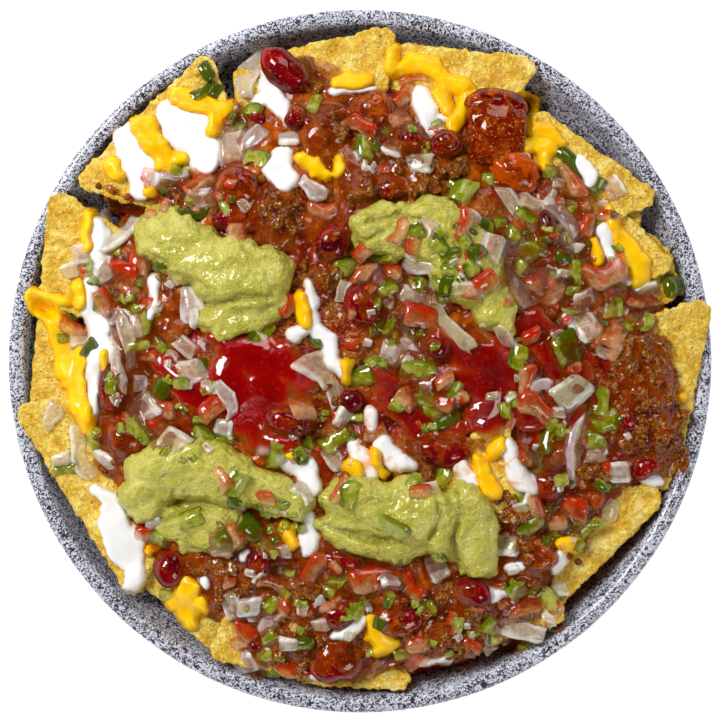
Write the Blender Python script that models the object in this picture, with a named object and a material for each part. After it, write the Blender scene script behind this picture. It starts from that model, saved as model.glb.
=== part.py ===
"""Loaded nachos on a speckled round plate: tortilla chips, chilli heap, guacamole, sauce, cream, cheese and beans."""
import math

import bmesh
import bpy
from mathutils import Vector, noise
from mathutils.bvhtree import BVHTree

# Every length below is in millimetres; MM turns it into metres.
MM = 0.001

# Plate: a turned shape with a steep inner wall and a narrow rounded lip.
PLATE_RADIUS = 125.0
PLATE_HEIGHT = 30.5
PLATE_STEPS = 48
FOOT_RADIUS = 96.0
FLOOR_HEIGHT = 5.5
LIP_INNER_RADIUS = 119.5
PLATE_PROFILE = (
    (FOOT_RADIUS, 0.0),
    (106.0, 4.0),
    (115.0, 13.0),
    (121.5, 22.0),
    (PLATE_RADIUS, 28.6),
    (124.0, 30.2),
    (122.3, PLATE_HEIGHT),
    (LIP_INNER_RADIUS, 29.4),
    (117.7, 25.5),
    (114.8, 20.0),
    (109.0, 13.0),
    (101.0, 8.0),
    (92.0, FLOOR_HEIGHT),
)

# Heap: highest in the middle, with an uneven border reached at each angle.
HEAP_BASE_RADIUS = 90.0
HEAP_BASE_HEIGHT = FLOOR_HEIGHT + 0.5
HEAP_BELLY_RADIUS = 104.0
HEAP_BELLY_HEIGHT = 14.5
HEAP_PEAK = 48.0
HEAP_FALL = 10.5
HEAP_FALL_RADIUS = 110.0
HEAP_STEPS = 40
HEAP_RINGS = 7
HEAP_LUMP = 1.5
HEAP_LUMP_SIZE = 13.0
HEAP_SHOULDER = 3.5
HEAP_REACH = (
    (-180, 95), (-160, 96), (-145, 98), (-130, 101), (-118, 103), (-108, 109), (-99, 112), (-90, 105),
    (-78, 107), (-65, 108), (-52, 104), (-40, 100), (-30, 101), (-22, 110), (-14, 116), (-5, 114),
    (4, 103), (14, 99), (24, 101), (35, 98), (48, 97), (62, 95), (76, 95), (90, 95), (104, 101),
    (118, 92), (135, 88), (150, 92), (165, 95), (180, 95),
)

# Chips: corners as x, y and underside height; more than three corners where a chip is broken.
CHIP_THICK = 2.0
CHIP_CORNER = 4.0
CHIP_WARP = 0.5
CHIPS = {
    "chip_01": ((-54, 108, 32.0), (-100, 63, 31.4), (-30, 42, 37.5)),
    "chip_02": ((-45, 103, 27.5), (-22, 97, 27.5), (-36, 60, 31.5)),
    "chip_03": ((12, 117.5, 30.4), (-36, 106, 30.8), (2, 60, 36.0)),
    "chip_04": ((6, 112, 27.6), (62, 105.5, 32.0), (28, 58, 32.6)),
    "chip_05": ((62, 89, 31.6), (105, 57.5, 32.0), (58, 40, 36.0)),
    "chip_06": ((100.5, 49, 28.4), (72, 72, 28.0), (64, 36, 31.6)),
    "chip_07": ((87, 57, 31.6), (110.5, 33, 30.6), (62, 17, 35.0)),
    "chip_08": ((102, 46, 25.6), (111.5, 38, 27.0), (112.5, 22, 27.4), (74, 9, 31.0), (79, 34, 29.6)),
    "chip_09": ((123.3, 20.5, 32.2), (110, -46, 26.8), (58, 2, 35.2)),
    "chip_10": ((108, -46, 30.8), (104, -54.5, 30.2), (68, -89, 27.0), (60, -42, 33.6)),
    "chip_11": ((73, -90, 30.8), (31, -49, 36.0), (18, -107, 31.6)),
    "chip_12": ((17, -115.5, 28.8), (-22, -113, 26.6), (4, -72, 30.6)),
    "chip_13": ((-53, -104, 29.8), (-19, -111, 30.0), (-32, -64, 34.5)),
    "chip_14": ((-80, -73, 26.8), (-51, -103.5, 26.8), (-30, -58, 30.6)),
    "chip_15": ((-121.5, -16.5, 32.0), (-80, -83, 30.0), (-47, -13, 36.5)),
    "chip_16": ((-113, 16, 26.2), (-116, -20, 27.6), (-60, -4, 31.0)),
    "chip_17": ((-108.5, 60, 32.0), (-112, 22, 28.0), (-56, 28, 32.0)),
    "chip_18": ((-111.5, 37.5, 32.4), (-110.5, 20.5, 31.0), (-70, 6, 34.0), (-68, 44, 35.2)),
    "chip_19": ((48, -18, 46.6), (62, -56, 43.6), (22, -50, 46.0)),
}

# Beans: middle x and y, length, width, thickness, turn in degrees.
BEAN_BEND = 0.22
BEAN_LIFT = 0.30
BEANS = {
    "bean_01": (-26, 103, 21, 12.5, 10, -38),
    "bean_02": (50, 89, 21, 15, 12, 20),
    "bean_03": (5, 90, 14, 12, 9, 30),
    "bean_04": (-42.5, 61.5, 16, 12.5, 9, -20),
    "bean_05": (-43.5, 50, 17, 11, 8, 15),
    "bean_06": (-9, 40.5, 13, 10, 8, 60),
    "bean_07": (1, 19, 13, 10.5, 8, 75),
    "bean_08": (-86, -11.5, 18, 10, 8.5, 82),
    "bean_09": (-82.5, -27.5, 14.5, 12, 9, -15),
    "bean_10": (-67, -73.5, 14, 10.5, 8.5, 78),
    "bean_11": (28.5, -31, 19, 11, 8.5, -8),
    "bean_12": (67.5, -43, 12, 10.5, 8.5, 50),
    "bean_13": (15, -91, 17.5, 11.5, 9, 0),
    "bean_14": (-7, -107, 20, 15, 11, 12),
}

# Guacamole: each scoop is a row of overlapping lobes, x, y, half length, half width, height, turn.
SCOOP_SINK = 3.0
SCOOP_RIDGE = 0.7
SCOOPS = {
    "guacamole_1": ((-64, 38, 19, 13, 12, -35), (-48, 30, 22, 13, 14, -38), (-43, 18, 14, 9, 11, 25)),
    "guacamole_2": ((14, 41, 17, 12, 13, -20), (34, 35, 19, 13, 14, -35), (45, 24, 11, 10, 10, -60)),
    "guacamole_3": ((-62, -35, 22, 12, 13, -12), (-38, -43, 18, 11, 13, -20), (-49, -60, 20, 9.5, 10, -8)),
    "guacamole_4": ((1, -51, 17, 11, 12, -10), (18, -60, 21, 13, 14, -5), (39, -60, 10, 14, 13, 15)),
}

# Sauce pools: overlapping round lobes, x, y and radius, of one thin layer.
POOL_DEPTH = 4.6
POOL_RISE = 1.3
POOLS = {
    "sauce_1": ((-38, -4, 13), (-24, -6, 15), (-30, -20, 11), (-42, 6, 8)),
    "sauce_2": ((26, -10, 12), (43, -8, 13), (63, -2, 15), (76, -10, 11), (58, 12, 11), (50, -20, 9), (12, -6, 9)),
}

# Cream and cheese strokes: stations along each stroke, x, y and width.
STROKE_DEPTH = 4.4
STROKE_SIDES = 6
STROKE_UNEVEN = 0.25
STROKES = {
    "cream_1": ((-53, 88, 10), (-60, 82, 18), (-68, 76, 12)),
    "cream_2": ((-80, 80, 9), (-81, 70, 13), (-76, 61, 11)),
    "cream_3": ((-92, 52, 7), (-93, 36, 9), (-94, 22, 8), (-90, 7, 9), (-93, -7, 8), (-95, -22, 7)),
    "cream_4": ((-21, 28, 7), (-16, 18, 9), (-9, 9, 9), (-5, -5, 7)),
    "cream_5": ((-93, -47, 7), (-87, -58, 10), (-81, -71, 13), (-78, -80, 10)),
    "cream_6": ((-2, -19, 10), (6, -27, 13), (14, -37, 9)),
    "cream_7": ((53, -30, 8), (56, -37, 9), (59, -44, 8)),
    "cream_8": ((22, 97, 7), (24, 91, 12), (27, 83, 9)),
    "cream_9": ((-35, 100, 6), (-33, 92, 9), (-30, 82, 8)),
    "cheese_1": ((-64, 92, 8), (-53, 90, 12), (-44, 84, 9)),
    "cheese_2": ((-77, 85, 5), (-70, 75, 6), (-63, 67, 5)),
    "cheese_3": ((-115, 24, 9), (-108, 12, 12), (-105, -2, 14), (-101, -14, 12), (-98, -26, 8)),
    "cheese_4": ((12, 110, 7), (24, 104, 9), (31, 95, 9), (40, 90, 7)),
    "cheese_5": ((59, 97, 6), (65, 83, 10), (64, 70, 8)),
    "cheese_6": ((88, 56, 6), (93, 43, 9), (100, 30, 12)),
    "cheese_7": ((44, -28, 6), (48, -38, 7), (46, -48, 6)),
    "cheese_8": ((-62, -79, 9), (-61, -86, 11), (-60, -93, 9)),
}

# Soft pieces rest on a ground evened out over a small circle, where gaps count as no deeper than a limit.
SOFT_SAMPLES = 8
SOFT_REACH = 4.0
SOFT_DROP = 5.0
GROUND_LEAST = 27.5

CLEARANCE = 0.45
MERGE_DISTANCE = 0.002

FINISHES = {
    "plate": ((0.55, 0.57, 0.63), 0.35),
    "chip": ((0.83, 0.60, 0.22), 0.70),
    "heap": ((0.40, 0.12, 0.03), 0.35),
    "bean": ((0.28, 0.03, 0.03), 0.25),
    "guacamole": ((0.50, 0.55, 0.10), 0.50),
    "sauce": ((0.55, 0.02, 0.01), 0.15),
    "cream": ((0.90, 0.88, 0.84), 0.30),
    "cheese": ((0.95, 0.50, 0.01), 0.25),
}


# Each body's mesh before anything is cut from it, by name.
WHOLE_FORMS = {}


def clear_scene():
    """Remove whatever the file opened with."""
    for old in list(bpy.data.objects):
        bpy.data.objects.remove(old, do_unlink=True)


def finish_for(name):
    """A fresh plain material for one node, by the first word of its name."""
    colour, roughness = FINISHES[name.split("_")[0]]
    material = bpy.data.materials.new(name + "_finish")
    material.use_nodes = True
    shader = material.node_tree.nodes["Principled BSDF"]
    shader.inputs["Base Color"].default_value = (*colour, 1.0)
    shader.inputs["Roughness"].default_value = roughness
    return material


def make_object(name, points, faces, smooth=True):
    """One closed body from points in millimetres, with its faces turned outward."""
    mesh = bpy.data.meshes.new(name)
    mesh.from_pydata([tuple(value * MM for value in point) for point in points], [], faces)
    tidy = bmesh.new()
    tidy.from_mesh(mesh)
    bmesh.ops.recalc_face_normals(tidy, faces=tidy.faces)
    if tidy.calc_volume(signed=True) < 0:
        bmesh.ops.reverse_faces(tidy, faces=tidy.faces)
    bmesh.ops.triangulate(tidy, faces=tidy.faces)
    tidy.to_mesh(mesh)
    tidy.free()
    mesh.materials.append(finish_for(name))
    if smooth:
        mesh.shade_smooth()
        mesh.set_sharp_from_angle(angle=math.radians(50))
    body = bpy.data.objects.new(name, mesh)
    bpy.context.collection.objects.link(body)
    WHOLE_FORMS[name] = mesh.copy()
    return body


def stack_of_rings(rings, low, high):
    """Points and faces of a body made of equal rings, closed by a point at each end."""
    count = len(rings[0])
    points = [point for ring in rings for point in ring]
    faces = []
    for level in range(len(rings) - 1):
        for step in range(count):
            after = (step + 1) % count
            here = level * count
            above = here + count
            faces.append((here + step, here + after, above + after, above + step))
    points.append(low)
    points.append(high)
    last = (len(rings) - 1) * count
    for step in range(count):
        after = (step + 1) % count
        faces.append((after, step, len(points) - 2))
        faces.append((last + step, last + after, len(points) - 1))
    return points, faces


def lump(x, y, size, shift=0.0):
    """Smooth unevenness between about -1 and 1."""
    return noise.noise(Vector((x / size + shift, y / size - shift, shift)))


def keep_largest(body):
    """Leave only the piece with the largest volume."""
    tidy = bmesh.new()
    tidy.from_mesh(body.data)
    tidy.faces.ensure_lookup_table()
    seen = set()
    pieces = []
    for start in tidy.faces:
        if start.index in seen:
            continue
        seen.add(start.index)
        piece = []
        waiting = [start]
        while waiting:
            face = waiting.pop()
            piece.append(face)
            for edge in face.edges:
                for other in edge.link_faces:
                    if other.index not in seen:
                        seen.add(other.index)
                        waiting.append(other)
        pieces.append(piece)
    volumes = []
    for piece in pieces:
        total = 0.0
        for face in piece:
            first = face.verts[0].co
            for second, third in zip(face.verts[1:], face.verts[2:]):
                total += first.dot(second.co.cross(third.co)) / 6
        volumes.append(abs(total))
    best = volumes.index(max(volumes))
    spare = [face for number, piece in enumerate(pieces) if number != best for face in piece]
    bmesh.ops.delete(tidy, geom=spare, context="FACES")
    bmesh.ops.triangulate(tidy, faces=tidy.faces)
    tidy.to_mesh(body.data)
    tidy.free()


def box_of(body):
    """Low and high corners of a body, in metres."""
    corners = [vertex.co for vertex in body.data.vertices]
    low = Vector(min(corner[axis] for corner in corners) for axis in range(3))
    high = Vector(max(corner[axis] for corner in corners) for axis in range(3))
    return low, high


def near(first, second):
    """Whether two bodies come within the clearance of each other's boxes."""
    low_a, high_a = box_of(first)
    low_b, high_b = box_of(second)
    slack = CLEARANCE * MM * 2
    return all(low_a[axis] - slack < high_b[axis] and low_b[axis] - slack < high_a[axis] for axis in range(3))


def cut_clear(body, others):
    """Cut a body back so that a small gap is left around the whole form of each of the others."""
    cutters = []
    for other in others:
        if not near(body, other):
            continue
        grown = WHOLE_FORMS[other.name].copy()
        shape = bmesh.new()
        shape.from_mesh(grown)
        shape.normal_update()
        moves = {}
        for vertex in shape.verts:
            moves[vertex.index] = vertex.normal * CLEARANCE * MM * min(vertex.calc_shell_factor(), 2.0)
        for vertex in shape.verts:
            vertex.co = vertex.co + moves[vertex.index]
        shape.to_mesh(grown)
        shape.free()
        cutter = bpy.data.objects.new("cutter", grown)
        cutter.hide_render = True
        cutter.display_type = "WIRE"
        bpy.context.collection.objects.link(cutter)
        cutters.append(cutter)
    for cutter in cutters:
        cut = body.modifiers.new("clear", "BOOLEAN")
        cut.operation = "DIFFERENCE"
        cut.solver = "EXACT"
        cut.object = cutter
        shaped = body.evaluated_get(bpy.context.evaluated_depsgraph_get())
        result = bpy.data.meshes.new_from_object(shaped)
        body.modifiers.clear()
        body.data = result
        bpy.data.objects.remove(cutter, do_unlink=True)
    if cutters:
        merge = bmesh.new()
        merge.from_mesh(body.data)
        bmesh.ops.remove_doubles(merge, verts=merge.verts, dist=MERGE_DISTANCE * MM)
        merge.to_mesh(body.data)
        merge.free()
        keep_largest(body)


def top_finder(bodies):
    """A function giving the height in millimetres of the highest surface under a point."""
    trees = []
    for body in bodies:
        tree = BVHTree.FromPolygons(
            [vertex.co for vertex in body.data.vertices],
            [tuple(face.vertices) for face in body.data.polygons],
        )
        trees.append(tree)

    def top(x, y):
        best = 0.0
        for tree in trees:
            hit = tree.ray_cast(Vector((x * MM, y * MM, 0.2)), Vector((0, 0, -1)))
            if hit[0] is not None:
                best = max(best, hit[0].z / MM)
        return best

    def soft_top(x, y):
        heights = [top(x, y)]
        for step in range(SOFT_SAMPLES):
            angle = math.tau * step / SOFT_SAMPLES
            heights.append(top(x + SOFT_REACH * math.cos(angle), y + SOFT_REACH * math.sin(angle)))
        least = max(max(heights) - SOFT_DROP, GROUND_LEAST)
        return sum(max(height, least) for height in heights) / len(heights)

    return soft_top


def build_plate():
    """The turned plate: profile rings closed at the middle of the foot and of the floor."""
    rings = []
    for radius, height in PLATE_PROFILE:
        ring = []
        for step in range(PLATE_STEPS):
            angle = math.tau * step / PLATE_STEPS
            ring.append((radius * math.cos(angle), radius * math.sin(angle), height))
        rings.append(ring)
    return make_object("plate", *stack_of_rings(rings, (0, 0, 0), (0, 0, FLOOR_HEIGHT)))


def heap_reach(angle):
    """Border radius of the heap at an angle, eased between the listed ones."""
    degrees = math.degrees(angle)
    if degrees > 180:
        degrees -= 360
    for (low, reach_low), (high, reach_high) in zip(HEAP_REACH, HEAP_REACH[1:]):
        if low <= degrees <= high:
            part = (degrees - low) / (high - low)
            ease = part * part * (3 - 2 * part)
            return reach_low + (reach_high - reach_low) * ease
    return HEAP_REACH[0][1]


def heap_top(x, y):
    """Height of the heap's crown without its border rounding."""
    distance = math.hypot(x, y)
    fall = HEAP_FALL * (distance / HEAP_FALL_RADIUS) ** 2
    return HEAP_PEAK - fall + HEAP_LUMP * 2 * lump(x, y, HEAP_LUMP_SIZE)


def build_heap():
    """The chilli heap: a lumpy crown, a rounded shoulder and sides that follow the plate down to its floor."""
    rings = []
    for radius, height in ((HEAP_BASE_RADIUS, HEAP_BASE_HEIGHT), (HEAP_BELLY_RADIUS, HEAP_BELLY_HEIGHT)):
        ring = []
        for step in range(HEAP_STEPS):
            angle = math.tau * step / HEAP_STEPS
            ring.append((radius * math.cos(angle), radius * math.sin(angle), height))
        rings.append(ring)
    for level in range(HEAP_RINGS):
        part = 1 - level / HEAP_RINGS
        ring = []
        for step in range(HEAP_STEPS):
            angle = math.tau * step / HEAP_STEPS
            reach = heap_reach(angle)
            spread = part ** 0.8
            x = reach * spread * math.cos(angle)
            y = reach * spread * math.sin(angle)
            shoulder = HEAP_SHOULDER * max(0.0, spread - 0.8) ** 2 / 0.04
            ring.append((x, y, heap_top(x, y) - shoulder))
        rings.append(ring)
    return make_object("heap", *stack_of_rings(rings, (0, 0, HEAP_BASE_HEIGHT), (0, 0, heap_top(0, 0))))


def rounded_outline(corners, radius):
    """Outline through rounded corners, with a point along each side; corners are given at their tips."""
    count = len(corners)
    middle = Vector((sum(c[0] for c in corners) / count, sum(c[1] for c in corners) / count))
    sharp = []
    for number in range(count):
        here = Vector(corners[number][:2])
        before = (Vector(corners[number - 1][:2]) - here).normalized()
        after = (Vector(corners[(number + 1) % count][:2]) - here).normalized()
        half = before.angle(after) / 2
        push = min(radius * (1 / math.sin(half) - 1), radius)
        sharp.append(here + (here - middle).normalized() * push)
    outline = []
    for number in range(count):
        here = sharp[number]
        before = (sharp[number - 1] - here).normalized()
        after = (sharp[(number + 1) % count] - here).normalized()
        half = before.angle(after) / 2
        centre = here + (before + after).normalized() * radius / math.sin(half)
        start = here + before * radius / math.tan(half)
        end = here + after * radius / math.tan(half)
        for part in (0.0, 1 / 3, 2 / 3, 1.0):
            spoke = start.lerp(end, part) - centre
            outline.append(centre + spoke.normalized() * radius)
        next_sharp = sharp[(number + 1) % count]
        outline.append(end.lerp(next_sharp + (end - next_sharp).normalized() * radius, 0.5))
    return outline


def build_chip(name, corners):
    """A thin warped slab over a tilted plane through its corners."""
    outline = rounded_outline(corners, CHIP_CORNER)
    count = len(corners)
    middle = Vector((sum(c[0] for c in corners), sum(c[1] for c in corners), sum(c[2] for c in corners))) / count
    span_a = Vector(corners[0]) - middle
    span_b = Vector(corners[count // 2]) - middle
    normal = span_a.cross(span_b).normalized()
    phase = sum(ord(letter) for letter in name) * 0.7

    def underside(point, inset):
        flat = middle.z - (normal.x * (point.x - middle.x) + normal.y * (point.y - middle.y)) / normal.z
        return flat + CHIP_WARP * 2 * lump(point.x, point.y, 21.0, phase) + inset

    flat_middle = middle.to_2d()
    rings = []
    for lift in (0.0, CHIP_THICK):
        rings.append([(point.x, point.y, underside(point, lift)) for point in outline])
    low = (flat_middle.x, flat_middle.y, underside(flat_middle, 0.0))
    high = (flat_middle.x, flat_middle.y, underside(flat_middle, CHIP_THICK))
    return make_object(name, *stack_of_rings(rings, low, high))


def build_bean(name, spec, top):
    """A kidney bean: an egg shape bent about its waist, resting partly sunk."""
    x, y, length, width, thick, turn = spec
    turn = math.radians(turn)
    rest = top(x, y) + thick * BEAN_LIFT
    rings = []
    around = 8
    for level in range(1, 6):
        tilt = math.pi * level / 6
        ring = []
        for step in range(around):
            angle = math.tau * step / around
            along = -math.cos(tilt)
            across = math.sin(tilt) * math.cos(angle)
            up = math.sin(tilt) * math.sin(angle)
            side = across * width / 2 + BEAN_BEND * width * along * along
            ahead = along * length / 2
            ring.append((
                x + ahead * math.cos(turn) - side * math.sin(turn),
                y + ahead * math.sin(turn) + side * math.cos(turn),
                rest + up * thick / 2,
            ))
        rings.append(ring)
    ends = []
    for along in (-1, 1):
        side = BEAN_BEND * width
        ahead = along * length / 2
        ends.append((
            x + ahead * math.cos(turn) - side * math.sin(turn),
            y + ahead * math.sin(turn) + side * math.cos(turn),
            rest,
        ))
    return make_object(name, *stack_of_rings(rings, ends[0], ends[1]))


def build_scoop(name, lobes, top):
    """A scoop of guacamole: a soft mound over overlapping lobes, with spoon ridges along it."""
    middle_x = sum(lobe[0] for lobe in lobes) / len(lobes)
    middle_y = sum(lobe[1] for lobe in lobes) / len(lobes)

    def bulk(x, y):
        best = -1.0
        for lobe_x, lobe_y, half_length, half_width, height, turn in lobes:
            angle = math.radians(turn)
            ahead = ((x - lobe_x) * math.cos(angle) + (y - lobe_y) * math.sin(angle)) / half_length
            side = (-(x - lobe_x) * math.sin(angle) + (y - lobe_y) * math.cos(angle)) / half_width
            inside = 1 - ahead * ahead - side * side
            if inside > 0:
                best = max(best, height * inside ** 0.5)
        return best

    around = 20
    rings = []
    edge = []
    for step in range(around):
        angle = math.tau * step / around
        reach = 1.0
        while bulk(middle_x + (reach + 1) * math.cos(angle), middle_y + (reach + 1) * math.sin(angle)) > 0:
            reach += 0.5
        edge.append(reach)
    smooth_edge = [(edge[step - 1] + 2 * edge[step] + edge[(step + 1) % around]) / 4 for step in range(around)]
    for part, lift in ((0.85, -1), (1.0, 0.12), (0.93, 0.6), (0.7, 1), (0.36, 1)):
        ring = []
        for step in range(around):
            angle = math.tau * step / around
            x = middle_x + smooth_edge[step] * part * math.cos(angle)
            y = middle_y + smooth_edge[step] * part * math.sin(angle)
            rest = top(x, y)
            if lift < 0:
                height = -SCOOP_SINK
            else:
                height = max(bulk(x, y), 3.0) * lift * 0.85 + SCOOP_RIDGE * 2 * lump(x, y, 6.0)
            ring.append((x, y, rest + height))
        rings.append(ring)
    base = top(middle_x, middle_y)
    crown = bulk(middle_x, middle_y) * 0.85
    points, faces = stack_of_rings(rings, (middle_x, middle_y, base - SCOOP_SINK), (middle_x, middle_y, base + crown))
    return make_object(name, points, faces)


def build_pool(name, lobes, top):
    """A shallow pool of sauce with one rounded border around its lobes."""
    middle_x = sum(lobe[0] * lobe[2] for lobe in lobes) / sum(lobe[2] for lobe in lobes)
    middle_y = sum(lobe[1] * lobe[2] for lobe in lobes) / sum(lobe[2] for lobe in lobes)
    around = 22
    edge = []
    for step in range(around):
        angle = math.tau * step / around
        reach = 2.0
        for lobe_x, lobe_y, radius in lobes:
            ahead = (lobe_x - middle_x) * math.cos(angle) + (lobe_y - middle_y) * math.sin(angle)
            side = -(lobe_x - middle_x) * math.sin(angle) + (lobe_y - middle_y) * math.cos(angle)
            if abs(side) < radius:
                reach = max(reach, ahead + math.sqrt(radius * radius - side * side))
        edge.append(reach)
    smooth_edge = [(edge[step - 1] + 2 * edge[step] + edge[(step + 1) % around]) / 4 for step in range(around)]
    rings = []
    for part, height in ((0.9, -1.8), (1.0, 0.1), (0.94, 1.1), (0.72, 1.7), (0.36, 1.9)):
        ring = []
        for step in range(around):
            angle = math.tau * step / around
            x = middle_x + smooth_edge[step] * part * math.cos(angle)
            y = middle_y + smooth_edge[step] * part * math.sin(angle)
            ring.append((x, y, top(x, y) + height * POOL_RISE))
        rings.append(ring)
    base = top(middle_x, middle_y)
    points, faces = stack_of_rings(
        rings,
        (middle_x, middle_y, base - 2.4 * POOL_RISE),
        (middle_x, middle_y, base + 2.0 * POOL_RISE),
    )
    return make_object(name, points, faces)


def build_stroke(name, stations, top):
    """A rounded ribbon of cream or cheese laid over what is beneath it."""
    dense = []
    for (x_a, y_a, width_a), (x_b, y_b, width_b) in zip(stations, stations[1:]):
        length = math.hypot(x_b - x_a, y_b - y_a)
        parts = max(1, round(length / 6.0))
        for number in range(parts):
            part = number / parts
            dense.append((x_a + (x_b - x_a) * part, y_a + (y_b - y_a) * part, width_a + (width_b - width_a) * part))
    dense.append(stations[-1])
    rings = []
    for number, (x, y, width) in enumerate(dense):
        before = dense[max(number - 1, 0)]
        after = dense[min(number + 1, len(dense) - 1)]
        heading = Vector((after[0] - before[0], after[1] - before[1])).normalized()
        side = Vector((-heading.y, heading.x))
        ring = []
        for step in range(STROKE_SIDES):
            angle = math.tau * step / STROKE_SIDES
            across = math.cos(angle) * width / 2 * (1 + STROKE_UNEVEN * lump(x, y, 7.0))
            at_x = x + side.x * across
            at_y = y + side.y * across
            rest = top(at_x, at_y)
            lift = math.sin(angle) * STROKE_DEPTH / 2 + 0.55
            ring.append((at_x, at_y, rest + lift))
        rings.append(ring)
    ends = []
    for tip, inner in ((dense[0], dense[1]), (dense[-1], dense[-2])):
        away = Vector((tip[0] - inner[0], tip[1] - inner[1])).normalized() * tip[2] * 0.42
        at_x = tip[0] + away.x
        at_y = tip[1] + away.y
        ends.append((at_x, at_y, top(at_x, at_y) + 0.5))
    points, faces = stack_of_rings(rings, ends[0], ends[1])
    return make_object(name, points, faces)


def main():
    """Build everything from the plate upward, then cut each softer piece clear of the firmer ones."""
    clear_scene()
    plate = build_plate()
    chips = []
    ranked = sorted(CHIPS, key=lambda name: -sum(corner[2] for corner in CHIPS[name]) / len(CHIPS[name]))
    for name in ranked:
        chip = build_chip(name, CHIPS[name])
        cut_clear(chip, [plate] + chips)
        chips.append(chip)
    heap = build_heap()
    ground = top_finder([plate, heap] + chips)
    beans = []
    for name, spec in BEANS.items():
        bean = build_bean(name, spec, ground)
        cut_clear(bean, chips + beans)
        beans.append(bean)
    firm = [plate] + chips + beans
    scoops = [build_scoop(name, lobes, ground) for name, lobes in SCOOPS.items()]
    for scoop in scoops:
        cut_clear(scoop, firm)
    firm += scoops
    ground = top_finder([plate, heap] + chips)
    pools = [build_pool(name, lobes, ground) for name, lobes in POOLS.items()]
    for pool in pools:
        cut_clear(pool, firm)
    firm += pools
    for name, stations in STROKES.items():
        stroke = build_stroke(name, stations, ground)
        cut_clear(stroke, firm)
        firm.append(stroke)
    cut_clear(heap, firm)


main()
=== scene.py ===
import math

import bmesh
import bpy
import numpy as np
from mathutils import Matrix, Vector, noise
from mathutils.bvhtree import BVHTree


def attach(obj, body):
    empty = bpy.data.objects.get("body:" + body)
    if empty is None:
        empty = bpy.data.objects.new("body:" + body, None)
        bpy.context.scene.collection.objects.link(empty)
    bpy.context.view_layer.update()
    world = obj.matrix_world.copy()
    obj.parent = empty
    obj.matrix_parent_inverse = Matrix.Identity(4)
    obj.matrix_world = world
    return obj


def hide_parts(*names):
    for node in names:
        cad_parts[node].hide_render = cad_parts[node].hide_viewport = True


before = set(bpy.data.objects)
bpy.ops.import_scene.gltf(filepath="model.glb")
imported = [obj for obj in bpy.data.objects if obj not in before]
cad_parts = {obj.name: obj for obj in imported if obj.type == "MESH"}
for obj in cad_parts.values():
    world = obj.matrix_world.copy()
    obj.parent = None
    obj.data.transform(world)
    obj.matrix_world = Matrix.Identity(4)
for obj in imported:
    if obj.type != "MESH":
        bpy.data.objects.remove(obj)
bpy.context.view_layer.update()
mm = 0.001  # everything below is in millimetres until it becomes a mesh
scene = bpy.context.scene
scene.view_settings.view_transform = "Standard"


# ---- finishes -------------------------------------------------------------

def paint(red, green, blue):  # screen colour, 0 to 255, as the shader wants it
    def linear(part):
        part = part / 255
        return part / 12.92 if part <= 0.04045 else ((part + 0.055) / 1.055) ** 2.4
    return (linear(red), linear(green), linear(blue), 1.0)


class Wire:  # one socket that can be used in sums
    def __init__(self, finish, socket):
        self.finish = finish
        self.socket = socket

    def __add__(self, other):
        return self.finish.sum("ADD", self, other)

    def __radd__(self, other):
        return self.finish.sum("ADD", other, self)

    def __sub__(self, other):
        return self.finish.sum("SUBTRACT", self, other)

    def __rsub__(self, other):
        return self.finish.sum("SUBTRACT", other, self)

    def __mul__(self, other):
        return self.finish.sum("MULTIPLY", self, other)

    def __rmul__(self, other):
        return self.finish.sum("MULTIPLY", other, self)

    def __truediv__(self, other):
        return self.finish.sum("DIVIDE", self, other)

    def __pow__(self, other):
        return self.finish.sum("POWER", self, other)


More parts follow.
